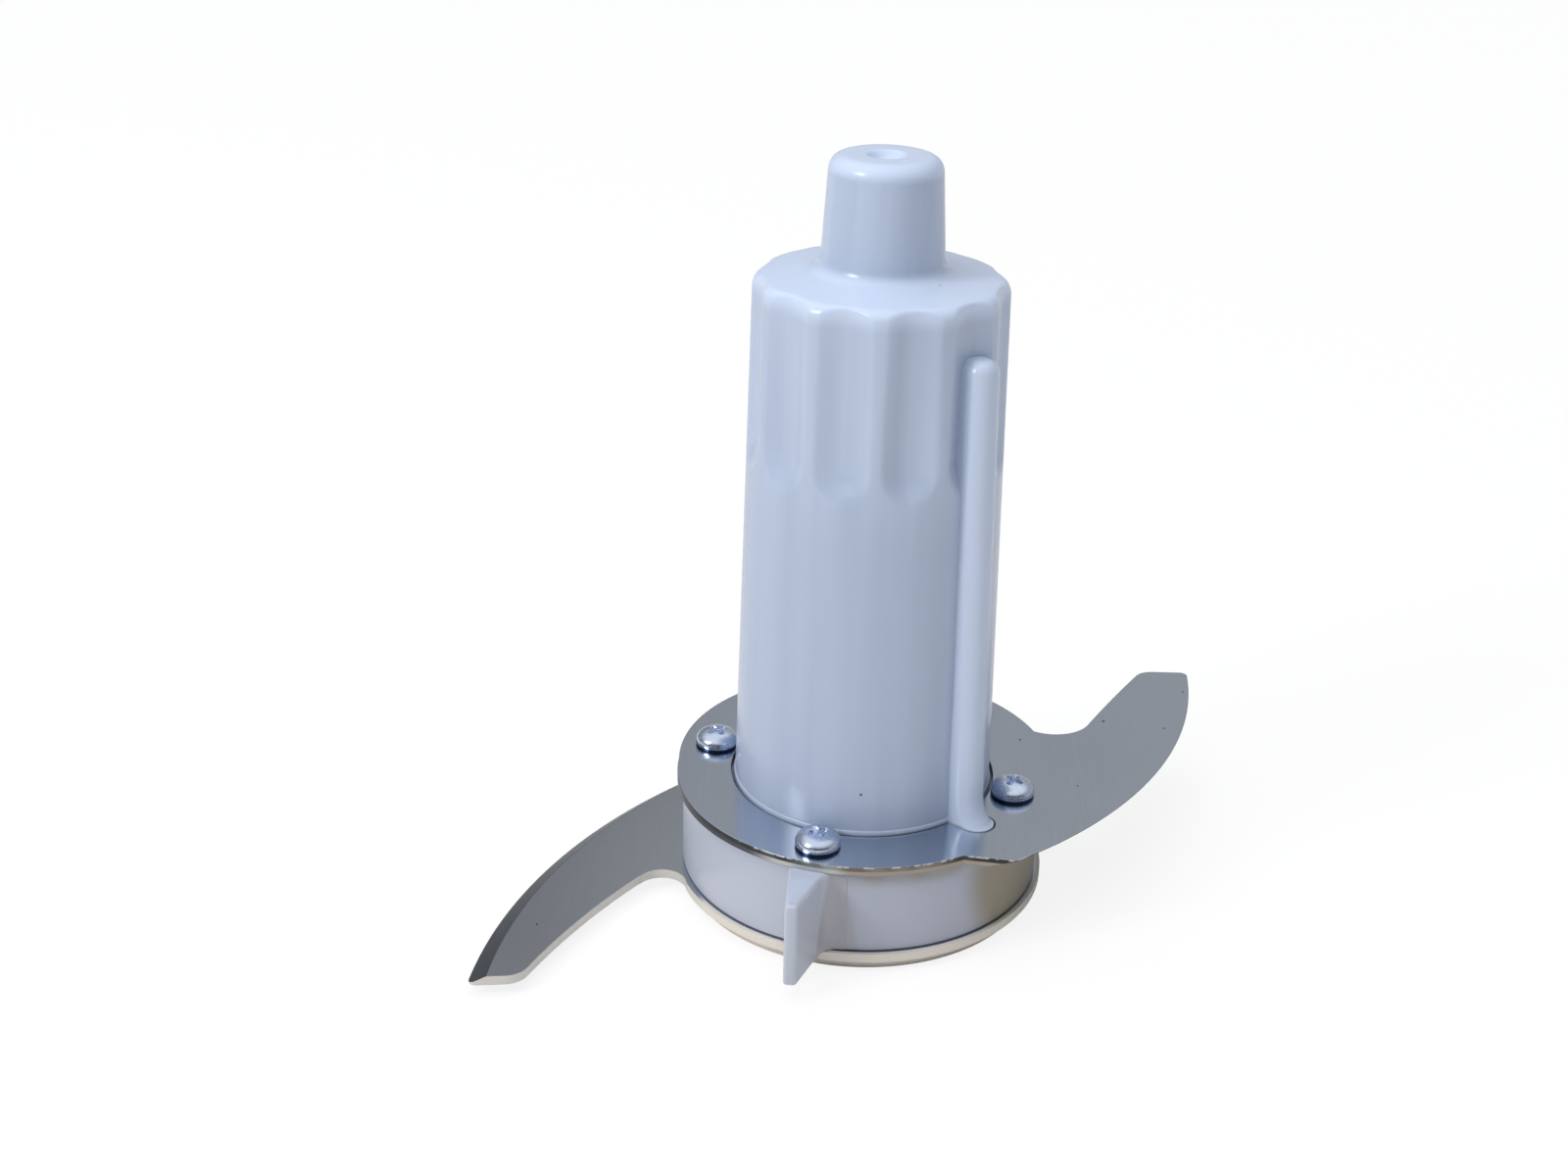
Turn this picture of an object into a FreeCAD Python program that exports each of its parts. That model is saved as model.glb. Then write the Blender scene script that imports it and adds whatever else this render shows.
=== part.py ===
import FreeCAD, Part
import math
import os

# Food processor blade: a tall fluted hub with two swept blades.
# Units are millimetres. The origin is the centre of the base, +Z is up the
# hub, -Y is the side that faces the viewer.

# Heights of the stack, from the table upwards
BASE_T = 2.0            # base ring under the lower blade
BLADE_T = 1.5           # stainless sheet of both blades
DRUM_H = 14.0           # spacer drum between the blades
SHOULDER_Z = 101.9      # shoulder at the upper end of the sleeve
SHOULDER_RISE = 1.2     # it climbs by this much towards the neck
NECK_H = 18.1           # the neck's height over the shoulder's rim

LOWER_Z = BASE_T                    # underside of the lower blade
DRUM_Z = LOWER_Z + BLADE_T          # underside of the drum
UPPER_Z = DRUM_Z + DRUM_H           # underside of the upper blade
DECK_Z = UPPER_Z + BLADE_T          # top face of the upper blade
NECK_Z = SHOULDER_Z + SHOULDER_RISE # where the shoulder meets the neck
TOP_Z = SHOULDER_Z + NECK_H         # top of the neck

# Radii of the hub
HUB_TOP_R = 19.1        # hub at the shoulder
HUB_TAPER = 1.56        # it widens by this much down to the upper blade
NECK_FOOT_R = 9.3
NECK_TOP_R = 8.3
FLARE = 0.3             # the hub widens again at its very foot
FLARE_H = 2.2
FLARE_LOW = 0.45        # share of that height which is upright
FLARE_BEND = 0.75       # the flare bends in at this share of its height
FLARE_LEFT = 0.35       # share of its width that is left at the bend
HUB_FOOT_R = HUB_TOP_R + HUB_TAPER

# Rounds and small details of the hub
TOP_ROUND = 2.3
NECK_ROUND = 3.0
SHOULDER_ROUND = 2.0
DIMPLE_R = 2.9
DIMPLE_FLOOR_R = 1.9
DIMPLE_DEPTH = 1.1

# Flutes round the upper part of the hub
FLUTE_COUNT = 12
FLUTE_R = 6.5           # radius of the round cutter
FLUTE_DEPTH = 1.15      # below the sleeve's surface at the shoulder
FLUTE_L = 23.7          # from the shoulder to the centre of the scooped end
FLUTE_ROUND = 0.6       # round along the edges of the grooves
FLUTE_END_Z = SHOULDER_Z - FLUTE_L
FLUTE_FLOOR_R = HUB_TOP_R - FLUTE_DEPTH

# Hollow inside
HUB_WALL = 1.45         # wall left behind a flute
SHOULDER_WALL = 3.4     # thickness under the shoulder
SOCKET_R = 5.0          # drive socket for the spindle, up inside the neck
SOCKET_ROOF = 4.5       # solid part of the neck above it
KEY_W = 3.0
KEY_DEPTH = 1.3
TUBE_WALL = 2.4         # inner wall of the drum
RIM_WALL = 2.6          # outer wall of the drum
DRUM_ROOF = 3.0
DRUM_ROUND = 0.4
BORE_R = FLUTE_FLOOR_R - HUB_WALL       # fits over the bowl's centre column
TUBE_R = BORE_R + TUBE_WALL
CEILING_Z = SHOULDER_Z - SHOULDER_WALL
SOCKET_END_Z = TOP_Z - SOCKET_ROOF

# Screws: four, equally spaced, the first near the front
SCREW_COUNT = 4
SCREW_FIRST_DEG = -104.5
HEAD_R = 3.5
HEAD_H = 2.6
HEAD_SIDE_H = 0.8
SHANK_R = 1.7
SHANK_L = 14.5
SHANK_POINT = 1.2
SHANK_TIP = 0.3         # share of the shank's radius at its tip
SCREW_TURN = 25.0       # how far the first cross is turned
SCREW_TURN_STEP = 34.0  # and each next one further than the last
RECESS_W = 0.9
RECESS_L = 3.7
RECESS_DEPTH = 1.3
THREAD_GAP = 0.05
HOLE_GAP = 0.3
BOSS_R = 2.7
BOSS_H = 8.0
BOSS_GAP = 0.15
COLUMN_R = 4.0
PILOT_FLOOR = 1.0

# Round middle of the blades, from the hub outwards
HUB_GAP = 0.4           # between the hub's foot and the upper blade
SCREW_INSET = 3.65      # from the edge of the hole to the middle of a screw
RIM_BAND = 5.0          # from the middle of a screw to the rim
DRUM_INSET = 0.9        # the drum lies inside the rim
BASE_INSET = 1.7        # and so does the base ring
HOLE_R = HUB_FOOT_R + FLARE + HUB_GAP
SCREW_PITCH_R = HOLE_R + SCREW_INSET
PLATE_R = SCREW_PITCH_R + RIM_BAND
DRUM_R = PLATE_R - DRUM_INSET
BASE_R = PLATE_R - BASE_INSET

# Round-nosed rib on the side of the hub
RIB_DEG = -41.0
RIB_R = 2.7
RIB_STAND = 0.94        # its centre line stands off the sleeve at the foot
RIB_STAND_TOP = 0.4     # and at its top
RIB_TOE = 3.44          # and at its toe, in the notch of the blade
RIB_ROOT = 0.7          # it grows out of the sleeve this far from the bore
RIB_DROP = 8.0          # its top lies below the shoulder
RIB_CROWN = 2.1
RIB_TOE_H = 1.6
RIB_FLARE_H = 7.0
RIB_FLARE_STEPS = 5
NOTCH_GAP = 0.25
RIB_FOOT_R = HUB_FOOT_R + RIB_STAND
RIB_TOP_R = HUB_TOP_R + RIB_STAND_TOP
RIB_TOE_R = HUB_FOOT_R + RIB_TOE
RIB_ROOT_R = BORE_R + RIB_ROOT
RIB_TOP_Z = SHOULDER_Z - RIB_DROP

# Vane on the drum
VANE_LEFT_X = -10.5
VANE_TIP = (-8.6, -38.8)        # right corner of the tip
VANE_RIGHT = (-4.6, -28.7)      # the right face meets the drum here
VANE_ROUND = 0.9
VANE_ROOT_ROUND = 3.0
VANE_DEPTH = 6.0                # it reaches this far into the drum

# Outline of a blade, seen from above with its arm to the right
HEEL = (15.9, -25.4)    # the arm leaves the round plate
EDGE_BOW = 8.5          # height of the cutting edge's arc over its chord
TOE_ROUND = 1.2
INNER_TOE_ROUND = 3.6

# The cutting edge runs from knee to toe and the inner edge from inner toe to
# crook, where a round bite leads over to the root on the round plate.
UPPER_ARM = {
    "knee": (23.8, -26.3), "toe": (57.9, 39.2), "inner_toe": (49.6, 38.9),
    "crook": (38.4, 18.0), "root": (25.5, 20.0), "inner_bow": 0.2,
    "bite": (32.1, 21.0), "bite_r": 7.0, "bevel_run": 400.0,
}
LOWER_ARM = {
    "knee": (23.3, -26.3), "toe": (57.4, 39.9), "inner_toe": (49.6, 38.9),
    "crook": (35.2, 10.8), "root": (28.2, 11.0), "inner_bow": -1.0,
    "bite": (31.5, 12.8), "bite_r": 4.1, "bevel_run": 68.0,
}
LOBE_AT = (0.5, 3.4)    # the upper plate is longer behind the hub
LOBE_MORE = 0.6         # and a little wider there
LOBE_R = PLATE_R + LOBE_MORE

# Ground bevel along the cutting edge. It is widest at the toe and fades out at
# the bevel run, the distance from there; a run past the knee grinds all of it.
BEVEL_W = 2.85
EDGE_LAND = 0.12

# Helpers
MARGIN = 5.0            # how far cutters reach past what they cut
SINK = 1.0              # how far joined bodies reach into each other
FUZZ = 0.01             # places closer than this count as the same
UP = FreeCAD.Vector(0, 0, 1)
AXIS = FreeCAD.Vector(0, 0, 0)


def vec(x, y, z=0.0):
    return FreeCAD.Vector(x, y, z)


def polar(radius, degrees, z=0.0):
    angle = math.radians(degrees)
    return vec(radius * math.cos(angle), radius * math.sin(angle), z)


def cylinder(radius, z0, z1, at=(0.0, 0.0)):
    return Part.makeCylinder(radius, z1 - z0, vec(at[0], at[1], z0))


def tube(outer, inner, z0, z1):
    return cylinder(outer, z0, z1).cut(cylinder(inner, z0 - MARGIN, z1 + MARGIN))


def revolved(points):
    """Solid of revolution about Z from (radius, z) points."""
    corners = [vec(r, 0, z) for r, z in points]
    face = Part.Face(Part.makePolygon(corners + corners[:1]))
    return face.revolve(AXIS, UP, 360)


def ring_edges(solid, radius, z):
    """Circular edges of the given radius at the given height."""
    found = []
    for edge in solid.Edges:
        curve = edge.Curve
        if not isinstance(curve, Part.Circle):
            continue
        if abs(curve.Radius - radius) < FUZZ and abs(curve.Center.z - z) < FUZZ:
            found.append(edge)
    return found


def distance(edge, x, y):
    """How far the middle of an edge is from (x, y), seen from above."""
    middle = edge.CenterOfMass
    return math.hypot(middle.x - x, middle.y - y)


def upright_edge(solid, x, y):
    """The vertical edge nearest to (x, y)."""
    upright = []
    for edge in solid.Edges:
        box = edge.BoundBox
        if box.XLength < FUZZ and box.YLength < FUZZ:
            upright.append(edge)
    return min(upright, key=lambda edge: distance(edge, x, y))


def screw_spots():
    step = 360.0 / SCREW_COUNT
    return [polar(SCREW_PITCH_R, SCREW_FIRST_DEG + step * i) for i in range(SCREW_COUNT)]


def drilled(solid, radius, z0, z1):
    """The solid with a hole at each screw."""
    for spot in screw_spots():
        solid = solid.cut(cylinder(radius, z0, z1, (spot.x, spot.y)))
    return solid


# Blades

def chord(start, end):
    """Length and outward normal of the line from start to end."""
    run = vec(end[0] - start[0], end[1] - start[1])
    return run.Length, vec(run.y / run.Length, -run.x / run.Length)


def bowed(start, end, bow):
    """Arc from start to end whose middle stands out by bow."""
    _, normal = chord(start, end)
    middle = (vec(*start) + vec(*end)) * 0.5
    return Part.Arc(vec(*start), middle + normal * bow, vec(*end)).toShape()


def edge_circle(knee, toe):
    """Centre and radius of the circle that carries the cutting edge."""
    length, normal = chord(knee, toe)
    radius = length * length / (8 * EDGE_BOW) + EDGE_BOW / 2
    middle = (vec(*knee) + vec(*toe)) * 0.5
    return middle - normal * (radius - EDGE_BOW), radius


def arm(sizes):
    """Flat arm of a blade on the round plate, with its bite cut out."""
    centre = vec(0, 0)
    outline = Part.Wire([
        Part.makeLine(centre, vec(*HEEL)),
        Part.makeLine(vec(*HEEL), vec(*sizes["knee"])),
        bowed(sizes["knee"], sizes["toe"], EDGE_BOW),
        Part.makeLine(vec(*sizes["toe"]), vec(*sizes["inner_toe"])),
        bowed(sizes["inner_toe"], sizes["crook"], sizes["inner_bow"]),
        Part.makeLine(vec(*sizes["crook"]), vec(*sizes["root"])),
        Part.makeLine(vec(*sizes["root"]), centre),
    ])
    solid = Part.Face(outline).extrude(UP * BLADE_T)
    solid = solid.makeFillet(TOE_ROUND, [upright_edge(solid, *sizes["toe"])])
    solid = solid.makeFillet(INNER_TOE_ROUND, [upright_edge(solid, *sizes["inner_toe"])])
    plate = cylinder(PLATE_R, 0, BLADE_T).fuse(solid)
    return plate.cut(cylinder(sizes["bite_r"], -MARGIN, MARGIN, sizes["bite"]))


def grinding_cut(sizes):
    """What the grinding wheel takes off the top of the cutting edge."""
    toe = vec(*sizes["toe"])
    centre, edge_r = edge_circle(sizes["knee"], sizes["toe"])
    wheel_r = 1 / (1 / edge_r - 2 * BEVEL_W / sizes["bevel_run"] ** 2)
    outside = wheel_r + MARGIN
    rise = (BLADE_T - EDGE_LAND) / BEVEL_W
    wheel = revolved([
        (wheel_r - BEVEL_W - MARGIN, BLADE_T + MARGIN * rise),
        (wheel_r, EDGE_LAND),
        (outside, EDGE_LAND),
        (outside, BLADE_T + MARGIN * rise),
    ])
    wheel.translate(toe + (centre - toe).normalize() * wheel_r)
    return wheel


def upper_blade():
    """Upper blade: ground on its underside, notched for the hub's rib."""
    plate = arm(UPPER_ARM).fuse(cylinder(LOBE_R, 0, BLADE_T, LOBE_AT))
    plate = plate.cut(cylinder(HOLE_R, -MARGIN, MARGIN))
    notch = Part.Face(nose(RIB_R + NOTCH_GAP, RIB_TOE_R, -MARGIN))
    plate = plate.cut(notch.extrude(UP * 2 * MARGIN))
    plate = drilled(plate, SHANK_R + HOLE_GAP, -MARGIN, MARGIN)
    wheel = grinding_cut(UPPER_ARM).mirror(vec(0, 0, BLADE_T / 2), UP)
    plate = plate.cut(wheel).removeSplitter()
    plate.translate(vec(0, 0, UPPER_Z))
    return plate


def lower_blade():
    """Lower blade: points the other way and is ground on its top."""
    plate = arm(LOWER_ARM).cut(grinding_cut(LOWER_ARM))
    plate.rotate(AXIS, UP, 180)
    plate = plate.cut(cylinder(TUBE_R + BOSS_GAP, -MARGIN, MARGIN))
    plate = drilled(plate, BOSS_R + BOSS_GAP, -MARGIN, MARGIN).removeSplitter()
    plate.translate(vec(0, 0, LOWER_Z))
    return plate


# Hub and drum, one moulding

def hub_body():
    """Outside of the hub: foot flare, tapered sleeve, shoulder and neck."""
    body = revolved([
        (0, UPPER_Z - MARGIN),
        (HUB_FOOT_R, UPPER_Z - MARGIN),
        (HUB_FOOT_R, DECK_Z),
        (HUB_TOP_R, SHOULDER_Z),
        (NECK_FOOT_R, NECK_Z),
        (NECK_TOP_R, TOP_Z),
        (0, TOP_Z),
    ])
    body = body.makeFillet(TOP_ROUND, ring_edges(body, NECK_TOP_R, TOP_Z))
    body = body.makeFillet(NECK_ROUND, ring_edges(body, NECK_FOOT_R, NECK_Z))
    body = body.makeFillet(SHOULDER_ROUND, ring_edges(body, HUB_TOP_R, SHOULDER_Z))
    dimple = revolved([
        (0, TOP_Z - DIMPLE_DEPTH),
        (DIMPLE_FLOOR_R, TOP_Z - DIMPLE_DEPTH),
        (DIMPLE_R, TOP_Z),
        (DIMPLE_R, TOP_Z + MARGIN),
        (0, TOP_Z + MARGIN),
    ])
    return body.cut(dimple)


def foot_flare():
    """Concave flare where the sleeve meets the drum."""
    root = UPPER_Z - SINK
    return revolved([
        (RIB_ROOT_R, root),
        (HUB_FOOT_R + FLARE, root),
        (HUB_FOOT_R + FLARE, UPPER_Z + FLARE_H * FLARE_LOW),
        (HUB_FOOT_R + FLARE * FLARE_LEFT, UPPER_Z + FLARE_H * FLARE_BEND),
        (HUB_FOOT_R, UPPER_Z + FLARE_H),
        (RIB_ROOT_R, UPPER_Z + FLARE_H),
    ])


def fluted(body):
    """The body with its flutes, each ending in a scoop, and their edges rounded."""
    centre_r = FLUTE_FLOOR_R + FLUTE_R
    for i in range(FLUTE_COUNT):
        spot = polar(centre_r, SCREW_FIRST_DEG + 360.0 / FLUTE_COUNT * i)
        groove = cylinder(FLUTE_R, FLUTE_END_Z, SHOULDER_Z + MARGIN, (spot.x, spot.y))
        scoop = Part.makeSphere(FLUTE_R, vec(spot.x, spot.y, FLUTE_END_Z))
        body = body.cut(groove.fuse(scoop).removeSplitter())
    lowest = FLUTE_END_Z - FLUTE_R
    rims = []
    for edge in body.Edges:
        outside = distance(edge, 0, 0) > FLUTE_FLOOR_R - SINK
        if outside and edge.BoundBox.ZMin > lowest:
            rims.append(edge)
    return body.makeFillet(FLUTE_ROUND, rims)


def nose(half_width, reach, z):
    """Level outline of the rib: straight sides and a round nose."""
    out = polar(1, RIB_DEG)
    side = polar(half_width, RIB_DEG + 90)
    back = out * RIB_ROOT_R + vec(0, 0, z)
    front = out * reach + vec(0, 0, z)
    tip = out * (reach + half_width) + vec(0, 0, z)
    return Part.Wire([
        Part.makeLine(back - side, front - side),
        Part.Arc(front - side, tip, front + side).toShape(),
        Part.makeLine(front + side, back + side),
        Part.makeLine(back + side, back - side),
    ])


def rib():
    """Rib up the side of the hub; its foot reaches into the blade's notch."""
    levels = [(RIB_TOE_R, UPPER_Z - SINK), (RIB_TOE_R, UPPER_Z + RIB_TOE_H)]
    for i in range(1, RIB_FLARE_STEPS + 1):
        turn = math.pi / 2 * i / RIB_FLARE_STEPS
        reach = (RIB_TOE_R - RIB_FOOT_R) * (1 - math.sin(turn))
        rise = (RIB_FLARE_H - RIB_TOE_H) * (1 - math.cos(turn))
        levels.append((RIB_FOOT_R + reach, UPPER_Z + RIB_TOE_H + rise))
    levels.append((RIB_TOP_R, RIB_TOP_Z))
    strip = Part.makeLoft([nose(RIB_R, reach, z) for reach, z in levels], True, True)
    rim = []
    for edge in strip.Edges:
        if edge.BoundBox.ZMin > RIB_TOP_Z - FUZZ:
            rim.append(edge)
    rim.remove(min(rim, key=lambda edge: distance(edge, 0, 0)))
    return strip.makeFillet(RIB_CROWN, rim)


def root_round(corner, along, around, leg):
    """Hollow arc that leads from one direction at a corner to the other."""
    half = along.getAngle(around) / 2
    radius = leg * math.tan(half)
    bisector = (along + around).normalize()
    middle = corner + bisector * (radius / math.sin(half) - radius)
    return Part.Arc(corner + along * leg, middle, corner + around * leg).toShape()


def vane():
    """Wedge-shaped vane on the drum's front."""
    tip_x, tip_y = VANE_TIP
    inside = DRUM_R - VANE_DEPTH
    tip_left = vec(VANE_LEFT_X, tip_y)
    tip_right = vec(tip_x, tip_y)
    root = vec(*VANE_RIGHT)
    along = (tip_right - root).normalize()
    around = root.cross(vec(0, 0, -1)).normalize()
    arc = root_round(root, along, around, VANE_ROOT_ROUND)
    outline = Part.Wire([
        Part.makeLine(vec(VANE_LEFT_X, -inside), tip_left),
        Part.makeLine(tip_left, tip_right),
        Part.makeLine(tip_right, arc.Vertexes[0].Point),
        arc,
        Part.makeLine(arc.Vertexes[-1].Point, vec(0, -inside)),
        Part.makeLine(vec(0, -inside), vec(VANE_LEFT_X, -inside)),
    ])
    solid = Part.Face(outline).extrude(UP * DRUM_H)
    corners = [upright_edge(solid, *VANE_TIP), upright_edge(solid, VANE_LEFT_X, tip_y)]
    solid = solid.makeFillet(VANE_ROUND, corners)
    solid.translate(vec(0, 0, DRUM_Z))
    return solid


def drum_outside():
    """Drum with its vane, and the tube that carries it on the base ring."""
    drum = cylinder(DRUM_R, DRUM_Z, UPPER_Z)
    rims = ring_edges(drum, DRUM_R, DRUM_Z) + ring_edges(drum, DRUM_R, UPPER_Z)
    drum = drum.makeFillet(DRUM_ROUND, rims).fuse(vane())
    return drum.fuse(cylinder(TUBE_R, LOWER_Z, UPPER_Z))


def drum_hollow():
    """Ring-shaped hollow under the drum's roof, with a column at each screw."""
    hollow = tube(DRUM_R - RIM_WALL, TUBE_R, DRUM_Z - MARGIN, UPPER_Z - DRUM_ROOF)
    for spot in screw_spots():
        hollow = hollow.cut(cylinder(COLUMN_R, 0, UPPER_Z, (spot.x, spot.y)))
    return hollow


def drive_hollow():
    """Column bore and, above it, the keyed drive socket."""
    hollow = cylinder(BORE_R, -MARGIN, CEILING_Z)
    half = SOCKET_R + KEY_DEPTH
    key = Part.makeBox(2 * half, KEY_W, SOCKET_END_Z - BASE_T)
    key.translate(vec(-half, -KEY_W / 2, BASE_T))
    return hollow.fuse([cylinder(SOCKET_R, BASE_T, SOCKET_END_Z), key])


def blade_hub():
    """Hub, drum and vane as one hollow moulding."""
    body = fluted(hub_body())
    body = body.fuse([foot_flare(), rib(), drum_outside()])
    body = body.cut(drive_hollow()).cut(drum_hollow())
    body = drilled(body, SHANK_R + HOLE_GAP, DRUM_Z - MARGIN, UPPER_Z + MARGIN)
    body = drilled(body, BOSS_R + BOSS_GAP, DRUM_Z - MARGIN, LOWER_Z + BOSS_H + HOLE_GAP)
    return body.removeSplitter()


# Base ring and screws

def base_ring():
    """Ring under the lower blade, with a boss for each screw."""
    ring = tube(BASE_R, BORE_R, 0, BASE_T)
    for spot in screw_spots():
        ring = ring.fuse(cylinder(BOSS_R, BASE_T / 2, BASE_T + BOSS_H, (spot.x, spot.y)))
    ring = drilled(ring, SHANK_R + THREAD_GAP, PILOT_FLOOR, BASE_T + BOSS_H + MARGIN)
    return ring.removeSplitter()


def screw():
    """Pan head screw with a cross recess, its head's seat at z = 0."""
    dome_h = HEAD_H - HEAD_SIDE_H
    dome_r = (HEAD_R ** 2 + dome_h ** 2) / (2 * dome_h)
    dome = Part.makeSphere(dome_r, vec(0, 0, HEAD_H - dome_r))
    head = cylinder(HEAD_R, 0, HEAD_H).common(dome)
    shank = revolved([
        (0, -SHANK_L),
        (SHANK_R * SHANK_TIP, -SHANK_L),
        (SHANK_R, SHANK_POINT - SHANK_L),
        (SHANK_R, HEAD_SIDE_H),
        (0, HEAD_SIDE_H),
    ])
    body = head.fuse(shank)
    for turn in (0, 90):
        slot = Part.makeBox(RECESS_L, RECESS_W, RECESS_DEPTH + MARGIN)
        slot.translate(vec(-RECESS_L / 2, -RECESS_W / 2, HEAD_H - RECESS_DEPTH))
        slot.rotate(AXIS, UP, turn)
        body = body.cut(slot)
    return body.removeSplitter()


def blade_screws():
    """The four equal screws as separate solids in one group."""
    group = []
    for i, spot in enumerate(screw_spots()):
        one = screw()
        one.rotate(AXIS, UP, SCREW_TURN + SCREW_TURN_STEP * i)
        one.translate(vec(spot.x, spot.y, DECK_Z))
        group.append(one)
    return Part.makeCompound(group)


# One file per piece

PIECES = {
    "blade_hub": blade_hub,
    "upper_blade": upper_blade,
    "lower_blade": lower_blade,
    "base_ring": base_ring,
    "blade_screws": blade_screws,
}

os.makedirs("parts", exist_ok=True)
for node, make in PIECES.items():
    shape = make()
    solids = len(shape.Solids)
    print(node, "solids", solids, "valid", shape.isValid(), "volume", round(shape.Volume, 1))
    shape.exportStep("parts/" + node + ".step")
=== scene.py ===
"""Looks of a food processor blade: a fluted plastic hub with two swept steel blades."""

from __future__ import annotations

import logging
import math
from dataclasses import dataclass, field
from enum import Enum
from typing import Sequence

import bpy
import numpy as np
from mathutils import Matrix, Vector

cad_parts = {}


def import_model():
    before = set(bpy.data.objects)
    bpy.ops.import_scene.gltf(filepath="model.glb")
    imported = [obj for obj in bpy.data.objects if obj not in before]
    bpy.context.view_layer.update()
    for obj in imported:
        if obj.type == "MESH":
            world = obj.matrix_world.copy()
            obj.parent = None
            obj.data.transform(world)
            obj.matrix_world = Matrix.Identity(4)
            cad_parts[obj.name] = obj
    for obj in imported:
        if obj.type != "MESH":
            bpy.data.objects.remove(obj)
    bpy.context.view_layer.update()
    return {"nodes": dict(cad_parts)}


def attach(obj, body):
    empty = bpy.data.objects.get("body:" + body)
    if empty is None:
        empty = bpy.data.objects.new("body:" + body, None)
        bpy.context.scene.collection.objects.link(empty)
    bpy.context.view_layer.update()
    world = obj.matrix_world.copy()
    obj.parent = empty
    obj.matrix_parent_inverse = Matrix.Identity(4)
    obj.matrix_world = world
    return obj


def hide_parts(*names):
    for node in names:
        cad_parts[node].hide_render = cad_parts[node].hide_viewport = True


MM = 0.001
TINY = 1e-6
NOWHERE = 99.0  # a radius beyond every part of the object (mm)
ROUND_STEPS = 9  # points on each rounded corner
WHITE = "#FFFFFF"
FLATTENED = (1.0, 1.0, 0.0)  # scale that takes the height out of a position
SPECK_GRAIN_MM = 1 / 2.2  # size of the ragged edge of a dirt speck
SPECK_SOLID = 0.9  # share of its radius inside which a speck is solid
SPECK_FADED = 1.5  # and share at which it has faded out
LOG = logging.getLogger("food_processor_blade")
Rgba = tuple[float, float, float, float]
Point = tuple[float, float, float]
Span = tuple[float, float]
Spot = tuple[Point, float]
Inputs = dict[str | int, object]
Tree = bpy.types.NodeTree
Socket = bpy.types.NodeSocket


class Slot(Enum):
    """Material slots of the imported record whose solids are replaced."""

    HUB = "hub_plastic"
    SCREW = "screw_plating"


class Kind(Enum):
    """Shader nodes used by the finishes."""

    PRINCIPLED = "ShaderNodeBsdfPrincipled"
    OUTPUT = "ShaderNodeOutputMaterial"
    COORDS = "ShaderNodeTexCoord"
    GEOMETRY = "ShaderNodeNewGeometry"
    NOISE = "ShaderNodeTexNoise"
    MAPPING = "ShaderNodeMapping"
    RANGE = "ShaderNodeMapRange"
    MIX = "ShaderNodeMix"
    BUMP = "ShaderNodeBump"
    EDGE = "ShaderNodeBevel"
    MATHS = "ShaderNodeMath"
    VECTOR = "ShaderNodeVectorMath"
    SPLIT = "ShaderNodeSeparateXYZ"
    PATH = "ShaderNodeLightPath"
    EMISSION = "ShaderNodeEmission"
    MIX_SHADER = "ShaderNodeMixShader"
    DIFFUSE = "ShaderNodeBsdfDiffuse"
    BACKGROUND = "ShaderNodeBackground"
    WORLD_OUTPUT = "ShaderNodeOutputWorld"


def linear(code: str) -> Rgba:
    """Linear colour of an sRGB hex code.

    Args:
        code: Six hex digits with a leading hash.

    Returns:
        Red, green, blue and an alpha of one.
    """
    parts = [int(code[i : i + 2], 16) / 255 for i in (1, 3, 5)]
    steps = [c / 12.92 if c <= 0.04045 else ((c + 0.055) / 1.055) ** 2.4 for c in parts]
    return (steps[0], steps[1], steps[2], 1.0)


def add(tree: Tree, kind: Kind, inputs: Inputs | None = None, **settings: object) -> bpy.types.Node:
    """Adds a node with its settings, its values and its links.

    Args:
        tree: Node tree that gets the node.
        kind: Which node it is.
        inputs: Socket name or index to a value, or to the output that feeds it.
        **settings: Properties of the node itself.

    Returns:
        The new node.
    """
    made = tree.nodes.new(kind.value)
    for name, value in settings.items():
        setattr(made, name, value)
    for key, value in (inputs or {}).items():
        socket = made.inputs[key]
        if isinstance(value, Socket):
            tree.links.new(value, socket)
        else:
            socket.default_value = value
    return made


def band(tree: Tree, value: Socket, span: Span, unit: float = 1.0) -> Socket:
    """Smooth mask that is zero at the first end of a span and one at the other.

    Args:
        tree: Tree of the material.
        value: What the mask follows.
        span: Values at which the mask is zero and one, whichever is larger.
        unit: Size of the span's unit.

    Returns:
        The mask.
    """
    start, full = span
    rising = full > start
    low, high = (start, full) if rising else (full, start)
    limits = {"From Min": low * unit, "From Max": high * unit}
    ends = {"To Min": 0.0, "To Max": 1.0} if rising else {"To Min": 1.0, "To Max": 0.0}
    shaped = add(tree, Kind.RANGE, {"Value": value, **limits, **ends}, interpolation_type="SMOOTHSTEP")
    return shaped.outputs["Result"]


def layered(tree: Tree, base: Socket | str, layers: Sequence[tuple[Socket, str]]) -> Socket:
    """Lays colours over one another, each where its mask is one.

    Args:
        tree: Tree of the material.
        base: Lowest colour, as an output or a hex code.
        layers: Mask and hex code of each colour above it, in order.

    Returns:
        The colour that is seen.
    """
    colour: Socket | Rgba = linear(base) if isinstance(base, str) else base
    for mask, code in layers:
        over = {"Factor": mask, "A": colour, "B": linear(code)}
        colour = add(tree, Kind.MIX, over, data_type="RGBA").outputs["Result"]
    return colour


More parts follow.
